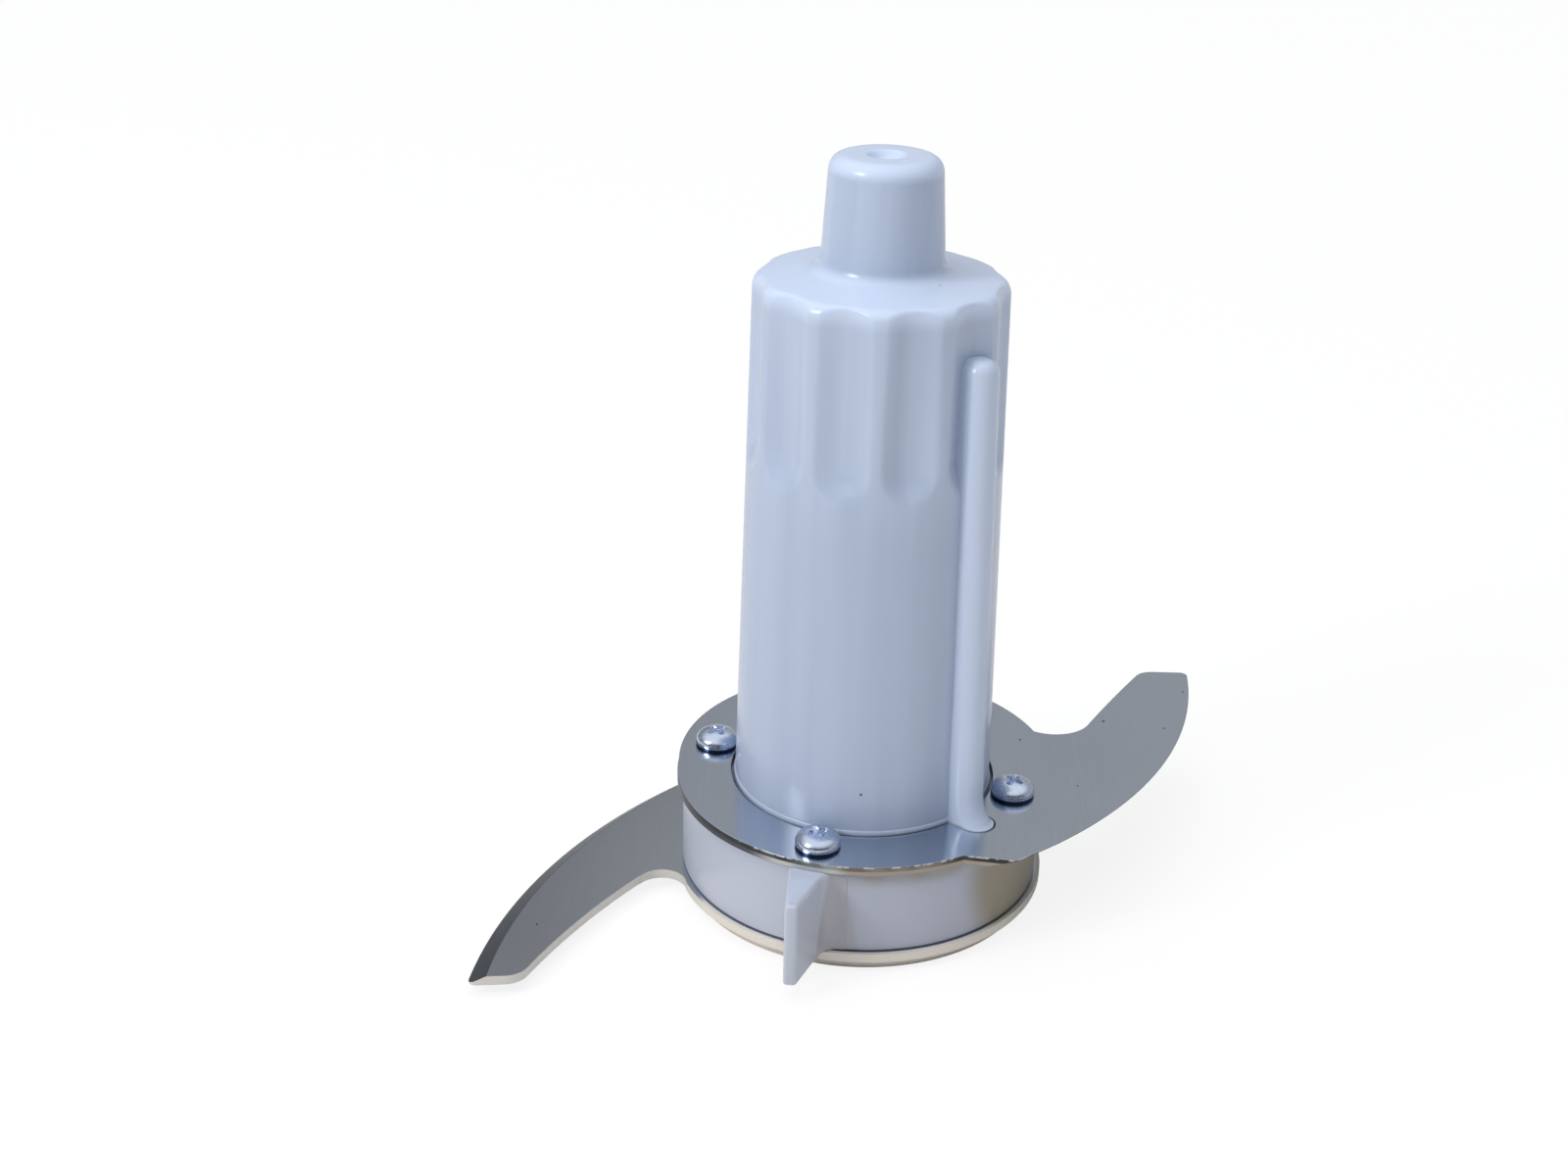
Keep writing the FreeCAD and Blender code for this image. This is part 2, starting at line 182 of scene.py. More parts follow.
@dataclass(frozen=True)
class Relief:
    """A low cloudy relief: size of its grain, its depth (mm) and how far it shows."""

    size: float
    detail: float  # how many finer grains are added to the main one
    depth: float
    strength: float

    def lay(self, tree: Tree, where: Socket, below: Socket | None = None) -> tuple[Socket, Socket]:
        """Lays the relief on a surface.

        Args:
            tree: Tree of the material.
            where: Position in metres.
            below: Normal of the surface, if it has a relief already.

        Returns:
            The grain, about 0.5 on average, and the new normal.
        """
        pattern = {"Vector": where, "Scale": 1 / (self.size * MM), "Detail": self.detail}
        grain = add(tree, Kind.NOISE, pattern).outputs["Fac"]
        shape = {"Height": grain, "Strength": self.strength, "Distance": self.depth * MM}
        if below is not None:
            shape["Normal"] = below
        return grain, add(tree, Kind.BUMP, shape).outputs["Normal"]


@dataclass(frozen=True)
class Finish:
    """What every finish shares: a name, an empty material to build in, and dirt."""

    name: str

    def start(self) -> tuple[bpy.types.Material, Tree]:
        """Makes an empty node material.

        Returns:
            The material and its node tree.
        """
        material = bpy.data.materials.new(self.name)
        material.use_nodes = True
        material.node_tree.nodes.clear()
        return material, material.node_tree

    def close(self, tree: Tree, surface: Inputs) -> None:
        """Ends the material with its shader and output.

        Args:
            tree: Tree of the material.
            surface: Values and links of the shader.
        """
        shader = add(tree, Kind.PRINCIPLED, surface)
        add(tree, Kind.OUTPUT, {"Surface": shader.outputs["BSDF"]})

    def specks(self, tree: Tree, where: Socket, spots: Sequence[Spot]) -> Socket:
        """Mask of small dirt specks with ragged edges.

        Args:
            tree: Tree of the material.
            where: Position in metres.
            spots: Each speck's place and radius in millimetres, at least one.

        Returns:
            Output that is one on a speck and zero elsewhere.
        """
        pattern = {"Vector": where, "Scale": 1 / (SPECK_GRAIN_MM * MM), "Detail": 2.0}
        ragged = add(tree, Kind.NOISE, pattern).outputs["Fac"]
        total: Socket | float = 0.0
        for place, radius in spots:
            solid, faded = radius * SPECK_SOLID, radius * SPECK_FADED
            point = Vector(place) * MM
            gap = add(tree, Kind.VECTOR, {0: where, 1: point}, operation="DISTANCE").outputs["Value"]
            rough = add(tree, Kind.MATHS, {0: ragged, 1: solid * MM, 2: gap}, operation="MULTIPLY_ADD")
            mask = band(tree, rough.outputs[0], (faded, solid), MM)
            total = add(tree, Kind.MATHS, {0: total, 1: mask}, operation="MAXIMUM").outputs[0]
        return total


@dataclass(frozen=True)
class MouldedAcetal(Finish):
    """Acetal, injection moulded in a polished tool: glossy, milky and a little wavy.

    A span of places tells in millimetres where a mask is zero and where it is one. Limits are
    values of a pattern, and a pattern is drawn out by the factors along the three axes. The slow
    wave bends the reflections. The peel is drawn coarser than the real 0.2 mm, to show.
    """

    tone: str = "#BCC9DE"
    shade: str = "#B3C0D6"
    cloud_mm: float = 14.0  # size of the clouds of tone and shade
    cloud_limits: Span = (0.32, 0.68)
    cloud_drawn: Point = (1.0, 1.0, 0.22)  # the melt flowed up the hub and drew them out
    lower_shade: str = "#B1BDD3"  # painted shade: the sleeve darker towards the bottom
    lower_shade_z: Span = (80.0, 64.0)
    streak_reflection: str = "#A6B3CA"  # painted reflection bands: faint darker vertical streaks along the hub
    streak_mm: float = 4.5
    streak_drawn: Point = (1.0, 1.0, 0.03)
    streak_limits: Span = (0.4, 0.65)
    streak_share: float = 0.45
    rib_light: str = "#C1CDE2"  # painted light: the rib, which stands proud, lighter
    rib_at_mm: Point = (16.8, -14.6, 0.0)
    rib_reach: Span = (3.7, 3.1)
    top_light: str = "#CBD8EE"  # painted light: the shoulder and the neck's end lighter, as they face up
    shoulder_foot_z: Span = (98.5, 101.5)
    shoulder_head_z: Span = (105.0, 103.0)
    neck_end_z: Span = (117.2, 118.6)
    drum_shade: str = "#B1B5C3"  # painted shade: the drum between the blades greyer and darker
    drum_z: Span = (17.8, 17.2)
    drum_left_light: str = "#BCC1CE"  # painted light: the left of the drum's front less dark
    drum_left_x: Span = (-2.5, -5.5)
    drum_left_y: Span = (14.0, -8.0)
    vane_shadow: str = "#ACADB4"  # painted shadow of the vane, on the drum in the corner at its right
    corner_at_mm: Point = (-3.2, -29.4, 0.0)
    corner_reach: Span = (5.0, 4.0)
    corner_slant: float = 0.2  # the painted shadow narrows this much with its height
    warm_reflection_and_shadow: str = "#978E7C"  # painted warm, brownish reflection on the drum at the right
    reflection_at_mm: Point = (27.0, -10.0, 12.5)
    reflection_reach: Span = (19.0, 12.92)
    blade_shadow_z: Span = (14.1, 16.9)  # painted shadow, warm and cloudy, under the upper blade
    blade_shadow_x: Span = (-3.5, 1.5)
    blade_shadow_mm: float = 5.0
    dirt: str = "#3B4254"
    spots: tuple[Spot, ...] = ()
    wave: Relief = Relief(size=9.0, detail=1.0, depth=0.25, strength=0.35)
    peel: Relief = Relief(size=0.7, detail=2.0, depth=0.02, strength=0.12)
    roughness: float = 0.24
    roughness_spread: Span = (-0.05, 0.06)
    ior: float = 1.48
    milky: float = 0.12  # share of the light that scatters inside the plastic
    milky_mm: float = 1.2  # and how deep it goes

    def build(self) -> bpy.types.Material:
        """Builds the material.

        Returns:
            The material.
        """
        material, tree = self.start()
        where = add(tree, Kind.COORDS).outputs["Object"]
        drawn = add(tree, Kind.MAPPING, {"Vector": where, "Scale": self.cloud_drawn}).outputs["Vector"]
        pattern = {"Vector": drawn, "Scale": 1 / (self.cloud_mm * MM), "Detail": 3.0}
        cloud = add(tree, Kind.NOISE, pattern).outputs["Fac"]
        low, high = self.cloud_limits
        tint = add(tree, Kind.RANGE, {"Value": cloud, "From Min": low, "From Max": high}).outputs["Result"]
        body = layered(tree, self.shade, [(tint, self.tone)])
        # painted light and shade on the sleeve, rib, shoulder, neck's end and drum
        colour = self.painted_drum(tree, where, self.sleeve(tree, where, body))
        if self.spots:
            colour = layered(tree, colour, [(self.specks(tree, where, self.spots), self.dirt)])
        _, slow = self.wave.lay(tree, drawn)
        _, fine = self.peel.lay(tree, where, slow)
        least, most = (self.roughness + spread for spread in self.roughness_spread)
        gloss = add(tree, Kind.RANGE, {"Value": cloud, "To Min": least, "To Max": most}).outputs["Result"]
        surface = {
            "Base Color": colour,
            "Roughness": gloss,
            "IOR": self.ior,
            "Subsurface Weight": self.milky,
            "Subsurface Radius": (1.0, 1.0, 1.0),
            "Subsurface Scale": self.milky_mm * MM,
            "Normal": fine,
        }
        self.close(tree, surface)
        return material

    def sleeve(self, tree: Tree, where: Socket, body: Socket) -> Socket:
        """Paints shade on the lower sleeve, reflection streaks, and light on rib, shoulder and neck's end.

        Args:
            tree: Tree of the material.
            where: Position in metres.
            body: Colour of the plastic before the painted light and shade.

        Returns:
            The colour above the drum.
        """
        height = add(tree, Kind.SPLIT, {"Vector": where}).outputs["Z"]
        low_sleeve = band(tree, height, self.lower_shade_z, MM)
        flow = add(tree, Kind.MAPPING, {"Vector": where, "Scale": self.streak_drawn}).outputs["Vector"]
        pattern = {"Vector": flow, "Scale": 1 / (self.streak_mm * MM), "Detail": 2.0}
        lines = add(tree, Kind.NOISE, pattern).outputs["Fac"]
        low, high = self.streak_limits
        shown = {"Value": lines, "From Min": low, "From Max": high, "To Max": self.streak_share}
        faint = add(tree, Kind.RANGE, shown).outputs["Result"]
        flat = add(tree, Kind.MAPPING, {"Vector": where, "Scale": FLATTENED}).outputs["Vector"]
        line = Vector(self.rib_at_mm) * MM
        off_rib = add(tree, Kind.VECTOR, {0: flat, 1: line}, operation="DISTANCE").outputs["Value"]
        stands = band(tree, off_rib, self.rib_reach, MM)
        rising = band(tree, height, self.shoulder_foot_z, MM)
        falling = band(tree, height, self.shoulder_head_z, MM)
        shoulder = add(tree, Kind.MATHS, {0: rising, 1: falling}, operation="MULTIPLY").outputs[0]
        end = band(tree, height, self.neck_end_z, MM)
        lit_top = add(tree, Kind.MATHS, {0: shoulder, 1: end}, operation="MAXIMUM").outputs[0]
        painted_light_and_shade = [(low_sleeve, self.lower_shade), (faint, self.streak_reflection), (stands, self.rib_light), (lit_top, self.top_light)]
        return layered(tree, body, painted_light_and_shade)

    def painted_drum(self, tree: Tree, where: Socket, upper: Socket) -> Socket:
        """Paints light and shade on the drum: greyer, lighter at the left, the vane's shadow, a warm
        reflection and the blade's shadow.

        Args:
            tree: Tree of the material.
            where: Position in metres.
            upper: Colour of the plastic above the drum.

        Returns:
            The colour of the whole moulding.
        """
        place = add(tree, Kind.SPLIT, {"Vector": where}).outputs
        below = band(tree, place["Z"], self.drum_z, MM)
        ahead = band(tree, place["Y"], self.drum_left_y, MM)
        aside = band(tree, place["X"], self.drum_left_x, MM)
        left = add(tree, Kind.MATHS, {0: aside, 1: ahead}, operation="MULTIPLY").outputs[0]
        drum = layered(tree, self.drum_shade, [(left, self.drum_left_light)])
        joined = {"Factor": below, "A": upper, "B": drum}
        grey = add(tree, Kind.MIX, joined, data_type="RGBA").outputs["Result"]
        flat = add(tree, Kind.MAPPING, {"Vector": where, "Scale": FLATTENED}).outputs["Vector"]
        foot = Vector(self.corner_at_mm) * MM
        beside = add(tree, Kind.VECTOR, {0: flat, 1: foot}, operation="DISTANCE").outputs["Value"]
        leaning = {0: place["Z"], 1: self.corner_slant, 2: beside}
        slanted = add(tree, Kind.MATHS, leaning, operation="MULTIPLY_ADD").outputs[0]
        corner = band(tree, slanted, self.corner_reach, MM)
        shadowed = add(tree, Kind.MATHS, {0: corner, 1: below}, operation="MULTIPLY").outputs[0]
        reflection_and_shadow = add(tree, Kind.MATHS, {0: self.reflection_and_shadow(tree, where), 1: below}, operation="MULTIPLY")
        return layered(tree, grey, [(shadowed, self.vane_shadow), (reflection_and_shadow.outputs[0], self.warm_reflection_and_shadow)])

    def reflection_and_shadow(self, tree: Tree, where: Socket) -> Socket:
        """Mask of the painted warm reflection at the right and of the painted shadow under the upper blade.

        Args:
            tree: Tree of the material.
            where: Position in metres.

        Returns:
            The mask.
        """
        place = add(tree, Kind.SPLIT, {"Vector": where}).outputs
        point = Vector(self.reflection_at_mm) * MM
        gap = add(tree, Kind.VECTOR, {0: where, 1: point}, operation="DISTANCE").outputs["Value"]
        patch = band(tree, gap, self.reflection_reach, MM)
        under = band(tree, place["Z"], self.blade_shadow_z, MM)
        right = band(tree, place["X"], self.blade_shadow_x, MM)
        pattern = {"Vector": where, "Scale": 1 / (self.blade_shadow_mm * MM), "Detail": 3.0}
        smear = add(tree, Kind.NOISE, pattern).outputs["Fac"]
        blade_shadow = add(tree, Kind.MATHS, {0: under, 1: smear}, operation="MULTIPLY").outputs[0]
        hidden = add(tree, Kind.MATHS, {0: blade_shadow, 1: right}, operation="MULTIPLY").outputs[0]
        return add(tree, Kind.MATHS, {0: patch, 1: hidden}, operation="MAXIMUM").outputs[0]


@dataclass(frozen=True)
class PolishedStainless(Finish):
    """Rolled stainless sheet, polished; punched edges and a ground bevel look duller.

    A span of places tells in millimetres where a mask is zero and where it is one. Limits are
    values of a pattern, and levels are shares of the sheet's thickness. The clouds are slow waves
    from rolling. The hairlines of polishing are drawn coarser than the real 0.03 mm, to show.
    """

    under_mm: float  # height of the sheet's underside
    thick_mm: float = 1.5
    tone: str = "#C3CDDA"
    cloudy: str = "#BBC4D1"
    outer: str = "#C3CCD8"  # the sheet towards the end of the arm
    outer_r: Span = (28.0, 62.0)
    ground: str = "#676D75"
    ground_steep: Span = (0.95, 0.985)  # upright part of a normal: bevel below, sheet above
    ground_rough: float = 0.3
    edge_steep: Span = (0.35, 0.55)  # and cut edge below, bevel above
    edge_rough: float = 0.42
    edge_mm: float = 0.22  # rounding that punching leaves along the edges
    sheared_and_reflection: str = "#9F958B"  # torn lower part of a punched edge: dull, its colour partly a painted reflection
    silver_reflection: str = "#BCC0BE"  # painted reflection: left of the middle the cut edge is bright
    silver_x: Span = (-1.0, -4.0)
    left: str = "#4C5057"  # painted reflection: further left the cut edge is dark
    left_x: Span = (-12.0, -17.0)
    burnish_reflection: str = "#2E2B2B"  # the punch polished the band above it; its colour is a painted reflection
    burnish_level: Span = (0.42, 0.55)
    patch_mm: float = 7.0  # patches where that painted reflection is stronger and weaker
    patch_limits: Span = (0.3, 0.6)
    patch_share: Span = (0.35, 1.0)
    glint: str = WHITE  # painted highlights: white glints along the upper rim at the front
    glint_level: Span = (0.82, 0.9)
    glint_y: Span = (-22.0, -26.0)
    glints: float = 0.0
    glint_mm: float = 1.3
    glint_limits: Span = (0.5, 0.58)
    hole_shade: str = "#20283C"  # painted shade: the wall of the hole for the hub, dark
    hole_r: Span = (23.3, 22.7)
    dirt: str = "#2B2E33"
    spots: tuple[Spot, ...] = ()
    torn_share: float = 0.65  # how far a cut edge scatters light like a dull surface
    rim_reflection: str = "#E2DBD0"  # painted reflection: the rim outside the drum light, warm and dull
    rim_reflection_share: float = 0.0
    rim_from_r: Span = (29.3, 29.5)
    rim_to_r: Span = (30.6, 30.2)
    rim_way: Point = (0.94, -0.342, 0.0)  # towards the side of the rim away from the arm's root
    rim_clear: Span = (-19.0, -16.0)
    clouds: Relief = Relief(size=18.0, detail=4.0, depth=0.05, strength=0.2)
    hairlines: Relief = Relief(size=0.25, detail=3.0, depth=0.01, strength=0.06)
    hair_turn: float = 0.9
    hair_drawn: Point = (1.0, 0.02, 1.0)
    hair_limits: Span = (0.3, 0.75)
    roughness: float = 0.13
    roughness_factors: Span = (0.8, 1.7)

    def build(self) -> bpy.types.Material:
        """Builds the material.

        Returns:
            The material.
        """
        material, tree = self.start()
        where = add(tree, Kind.COORDS).outputs["Object"]
        side, slope = self.steepness(tree)
        drawing = {"Vector": where, "Rotation": (0.0, 0.0, self.hair_turn), "Scale": self.hair_drawn}
        drawn = add(tree, Kind.MAPPING, drawing).outputs["Vector"]
        eased = add(tree, Kind.EDGE, {"Radius": self.edge_mm * MM}, samples=6).outputs["Normal"]
        hair, lines = self.hairlines.lay(tree, drawn, eased)
        cloud, waves = self.clouds.lay(tree, where, lines)
        flat = add(tree, Kind.MAPPING, {"Vector": where, "Scale": FLATTENED}).outputs["Vector"]
        away = add(tree, Kind.VECTOR, {0: flat}, operation="LENGTH").outputs["Value"]
        arm = band(tree, away, self.outer_r, MM)
        faces = [(cloud, self.cloudy), (arm, self.outer), (slope, self.ground)]
        bevel = layered(tree, self.tone, faces)
        # the cut edges carry painted reflections and painted glints
        cut, glints = self.punched_edge(tree, where)
        # painted shade on the wall of the hub's hole
        punched = layered(tree, cut, [(band(tree, away, self.hole_r, MM), self.hole_shade)])
        joined = {"Factor": side, "A": bevel, "B": punched}
        colour = add(tree, Kind.MIX, joined, data_type="RGBA").outputs["Result"]
        # painted reflection on the rim outside the drum
        rim_mask = self.rim_reflection_mask(tree, where, away)
        colour = layered(tree, colour, [(rim_mask, self.rim_reflection)])
        if self.spots:
            colour = layered(tree, colour, [(self.specks(tree, where, self.spots), self.dirt)])
        bright = add(tree, Kind.MATHS, {0: glints, 1: side}, operation="MULTIPLY").outputs[0]
        torn = add(tree, Kind.MATHS, {0: side, 1: self.torn_share}, operation="MULTIPLY").outputs[0]
        worst = add(tree, Kind.MATHS, {0: bright, 1: torn}, operation="MAXIMUM").outputs[0]
        loss = add(tree, Kind.MATHS, {0: worst, 1: rim_mask}, operation="MAXIMUM").outputs[0]
        metal = add(tree, Kind.MATHS, {0: 1.0, 1: loss}, operation="SUBTRACT").outputs[0]
        gloss = self.dulled(tree, hair, slope, side)
        self.close(tree, {"Base Color": colour, "Metallic": metal, "Roughness": gloss, "Normal": waves})
        return material

    def steepness(self, tree: Tree) -> tuple[Socket, Socket]:
        """Masks of the cut edges and of all faces that are not level.

        Args:
            tree: Tree of the material.

        Returns:
            Mask of the cut edges, and mask of the cut edges with the bevel.
        """
        facing = add(tree, Kind.GEOMETRY).outputs["True Normal"]
        up = add(tree, Kind.SPLIT, {"Vector": facing}).outputs["Z"]
        steep = add(tree, Kind.MATHS, {0: up}, operation="ABSOLUTE").outputs[0]
        masks = []
        for low, high in (self.edge_steep, self.ground_steep):
            falling = {"Value": steep, "From Min": low, "From Max": high, "To Min": 1.0, "To Max": 0.0}
            masks.append(add(tree, Kind.RANGE, falling).outputs["Result"])
        return masks[0], masks[1]

    def dulled(self, tree: Tree, hair: Socket, slope: Socket, side: Socket) -> Socket:
        """Roughness of the polished faces, the ground bevel and the cut edges.

        Args:
            tree: Tree of the material.
            hair: Pattern of the polishing lines.
            slope: Mask of the faces that are not level.
            side: Mask of the cut edges.

        Returns:
            The roughness.
        """
        low, high = self.hair_limits
        least, most = (self.roughness * factor for factor in self.roughness_factors)
        span = {"Value": hair, "From Min": low, "From Max": high, "To Min": least, "To Max": most}
        dull = add(tree, Kind.RANGE, span).outputs["Result"]
        for mask, rough in ((slope, self.ground_rough), (side, self.edge_rough)):
            over = {"Factor": mask, "A": dull, "B": rough}
            dull = add(tree, Kind.MIX, over, data_type="FLOAT").outputs["Result"]
        return dull

    def rim_reflection_mask(self, tree: Tree, where: Socket, away: Socket) -> Socket:
        """Mask of the painted reflection on the rim.

        Args:
            tree: Tree of the material.
            where: Position in metres.
            away: Distance from the hub's axis.

        Returns:
            The mask, which is the painted reflection's share where it shows.
        """
        begins = band(tree, away, self.rim_from_r, MM)
        ends = band(tree, away, self.rim_to_r, MM)
        rim_mask = add(tree, Kind.MATHS, {0: begins, 1: ends}, operation="MULTIPLY").outputs[0]
        facing = add(tree, Kind.VECTOR, {0: where, 1: self.rim_way}, operation="DOT_PRODUCT")
        clear = band(tree, facing.outputs["Value"], self.rim_clear, MM)
        open_rim = add(tree, Kind.MATHS, {0: rim_mask, 1: clear}, operation="MULTIPLY").outputs[0]
        return add(tree, Kind.MATHS, {0: open_rim, 1: self.rim_reflection_share}, operation="MULTIPLY").outputs[0]

    def punched_edge(self, tree: Tree, where: Socket) -> tuple[Socket, Socket]:
        """Colour of an edge that was punched from above, with its painted reflections, and its painted
        glints.

        Args:
            tree: Tree of the material.
            where: Position in metres.

        Returns:
            The colour and the mask of the painted glints.
        """
        place = add(tree, Kind.SPLIT, {"Vector": where}).outputs
        low, high = self.under_mm * MM, (self.under_mm + self.thick_mm) * MM
        height = {"Value": place["Z"], "From Min": low, "From Max": high}
        level = add(tree, Kind.RANGE, height).outputs["Result"]
        pattern = {"Vector": where, "Scale": 1 / (self.patch_mm * MM), "Detail": 2.0}
        patchy = add(tree, Kind.NOISE, pattern).outputs["Fac"]
        low, high = self.patch_limits
        least, most = self.patch_share
        span = {"Value": patchy, "From Min": low, "From Max": high, "To Min": least, "To Max": most}
        amount = add(tree, Kind.RANGE, span).outputs["Result"]
        rise = band(tree, level, self.burnish_level)
        dark = add(tree, Kind.MATHS, {0: rise, 1: amount}, operation="MULTIPLY").outputs[0]
        bare = band(tree, place["X"], self.silver_x, MM)
        far = band(tree, place["X"], self.left_x, MM)
        pattern = {"Vector": where, "Scale": 1 / (self.glint_mm * MM), "Detail": 2.0}
        fine = add(tree, Kind.NOISE, pattern).outputs["Fac"]
        marks = band(tree, fine, self.glint_limits)
        facing = band(tree, place["Y"], self.glint_y, MM)
        rim = band(tree, level, self.glint_level)
        lit = add(tree, Kind.MATHS, {0: marks, 1: facing}, operation="MULTIPLY").outputs[0]
        share = add(tree, Kind.MATHS, {0: lit, 1: self.glints}, operation="MULTIPLY").outputs[0]
        glints = add(tree, Kind.MATHS, {0: share, 1: rim}, operation="MULTIPLY").outputs[0]
        zones = [(bare, self.silver_reflection), (far, self.left), (dark, self.burnish_reflection), (glints, self.glint)]
        return layered(tree, self.sheared_and_reflection, zones), glints


@dataclass(frozen=True)
class PlatedSteel(Finish):
    """Bright zinc plating on a cold-headed screw: blue-white, with painted shade round its seat."""

    tone: str = "#C7D3E9"
    # painted shade: a dark band round the foot of each head
    seat_shade: str = "#33405C"
    seat_shade_z: Span = (19.6, 19.4)  # it reaches 0.6 mm up from the seat
    grain: Relief = Relief(size=0.35, detail=3.0, depth=0.03, strength=0.15)
    grain_limits: Span = (0.3, 0.7)
    roughness: float = 0.22
    roughness_factors: Span = (0.7, 1.6)

    def build(self) -> bpy.types.Material:
        """Builds the material.

        Returns:
            The material.
        """
        material, tree = self.start()
        where = add(tree, Kind.COORDS).outputs["Object"]
        grain, bumpy = self.grain.lay(tree, where)
        low, high = self.grain_limits
        least, most = (self.roughness * factor for factor in self.roughness_factors)
        span = {"Value": grain, "From Min": low, "From Max": high, "To Min": least, "To Max": most}
        gloss = add(tree, Kind.RANGE, span).outputs["Result"]
        height = add(tree, Kind.SPLIT, {"Vector": where}).outputs["Z"]
        # painted shade round the seat
        colour = layered(tree, self.tone, [(band(tree, height, self.seat_shade_z, MM), self.seat_shade)])
        self.close(tree, {"Base Color": colour, "Metallic": 1.0, "Roughness": gloss, "Normal": bumpy})
        return material


@dataclass(frozen=True)
class SatinBase(Finish):
    """Moulded base ring in warm white plastic with a fine satin texture."""

    tone: str = "#F8F3EC"
    shade: str = "#F0E9E0"
    cloud_mm: float = 6.0
    foot_tone: str = "#DDD2C6"  # darker and browner towards the bottom
    foot_tone_z: Span = (0.9, 0.2)
    grain: Relief = Relief(size=0.4, detail=2.0, depth=0.03, strength=0.2)
    roughness: float = 0.38
    ior: float = 1.49

    def build(self) -> bpy.types.Material:
        """Builds the material.

        Returns:
            The material.
        """
        material, tree = self.start()
        where = add(tree, Kind.COORDS).outputs["Object"]
        pattern = {"Vector": where, "Scale": 1 / (self.cloud_mm * MM), "Detail": 4.0}
        cloud = add(tree, Kind.NOISE, pattern).outputs["Fac"]
        height = add(tree, Kind.SPLIT, {"Vector": where}).outputs["Z"]
        foot = band(tree, height, self.foot_tone_z, MM)
        colour = layered(tree, self.shade, [(cloud, self.tone), (foot, self.foot_tone)])
        _, bumpy = self.grain.lay(tree, where)
        surface = {"Base Color": colour, "Roughness": self.roughness, "IOR": self.ior, "Normal": bumpy}
        self.close(tree, surface)
        return material


def turned(angles: np.ndarray, radii: np.ndarray | float, heights: np.ndarray | float) -> np.ndarray:
    """Points of one level ring, in millimetres.

    Args:
        angles: Angles in radians.
        radii: Radius at each angle, or one for all.
        heights: Height at each angle, or one for all.

    Returns:
        Array of points.
    """
    level = np.broadcast_to(heights, angles.shape)
    return np.stack([radii * np.cos(angles), radii * np.sin(angles), level], axis=1)


def full_turn(step_deg: float) -> np.ndarray:
    """Even angles all the way round, in radians."""
    return np.radians(np.arange(0.0, 360.0, step_deg))


def placed(name: str, data: bpy.types.ID) -> bpy.types.Object:
    """Makes an object and links it to the scene.

    Args:
        name: Name of the object.
        data: Its mesh, light or camera.

    Returns:
        The new object.
    """
    made = bpy.data.objects.new(name, data)
    bpy.context.scene.collection.objects.link(made)
    return made


@dataclass
class Skin:
    """Mesh under construction, made of closed rings of points in millimetres."""

    points: list[np.ndarray] = field(default_factory=list)
    faces: list[tuple[int, ...]] = field(default_factory=list)
    count: int = 0

    def ring(self, points: np.ndarray) -> int:
        """Adds a ring.

        Args:
            points: Points of the ring, in order.

        Returns:
            Index of its first point.
        """
        first = self.count
        self.points.append(points)
        self.count += len(points)
        return first

    def bridge(self, low: int, high: int, size: int) -> None:
        """Joins two rings of equal size with quads; outside faces away when low is below.

        Args:
            low: First point of the lower ring.
            high: First point of the upper ring.
            size: Number of points in each.
        """
        for i in range(size):
            j = (i + 1) % size
            self.faces.append((low + i, low + j, high + j, high + i))

    def cap(self, ring: int, size: int, up: bool) -> None:
        """Closes a ring with one face.

        Args:
            ring: First point of the ring.
            size: Number of its points.
            up: Whether the face looks up, not down.
        """
        loop = tuple(range(ring, ring + size))
        self.faces.append(loop if up else loop[::-1])

    def stack(self, rings: Sequence[np.ndarray], close_low: bool = False, close_high: bool = False) -> None:
        """Adds rings from bottom to top of an outside wall and joins them.

        Args:
            rings: Rings of equal size.
            close_low: Whether the first ring gets a face.
            close_high: Whether the last ring gets a face.
        """
        size = len(rings[0])
        firsts = [self.ring(r) for r in rings]
        for low, high in zip(firsts, firsts[1:]):
            self.bridge(low, high, size)
        if close_low:
            self.cap(firsts[0], size, up=False)
        if close_high:
            self.cap(firsts[-1], size, up=True)

    def object(self, name: str, smooth_deg: float = 40.0) -> bpy.types.Object:
        """Makes the object, in metres, at the frame's origin.

        Args:
            name: Name of the object and its mesh.
            smooth_deg: Edges sharper than this stay sharp.

        Returns:
            The new object, linked to the scene.
        """
        mesh = bpy.data.meshes.new(name)
        mesh.from_pydata(np.concatenate(self.points) * MM, [], self.faces)
        mesh.update()
        made = placed(name, mesh)
        mesh.shade_smooth()
        mesh.set_sharp_from_angle(angle=math.radians(smooth_deg))
        return made


def soft_min(a: np.ndarray, b: np.ndarray, blend: float) -> np.ndarray:
    """Smaller of two arrays, with a round of about the blend's size where they cross."""
    near = np.maximum(blend - np.abs(a - b), 0.0) / blend
    return np.minimum(a, b) - near * near * blend / 4


def soft_max(a: np.ndarray, b: np.ndarray, blend: float) -> np.ndarray:
    """Larger of two arrays, with a hollow fillet where they cross."""
    return -soft_min(-a, -b, blend)


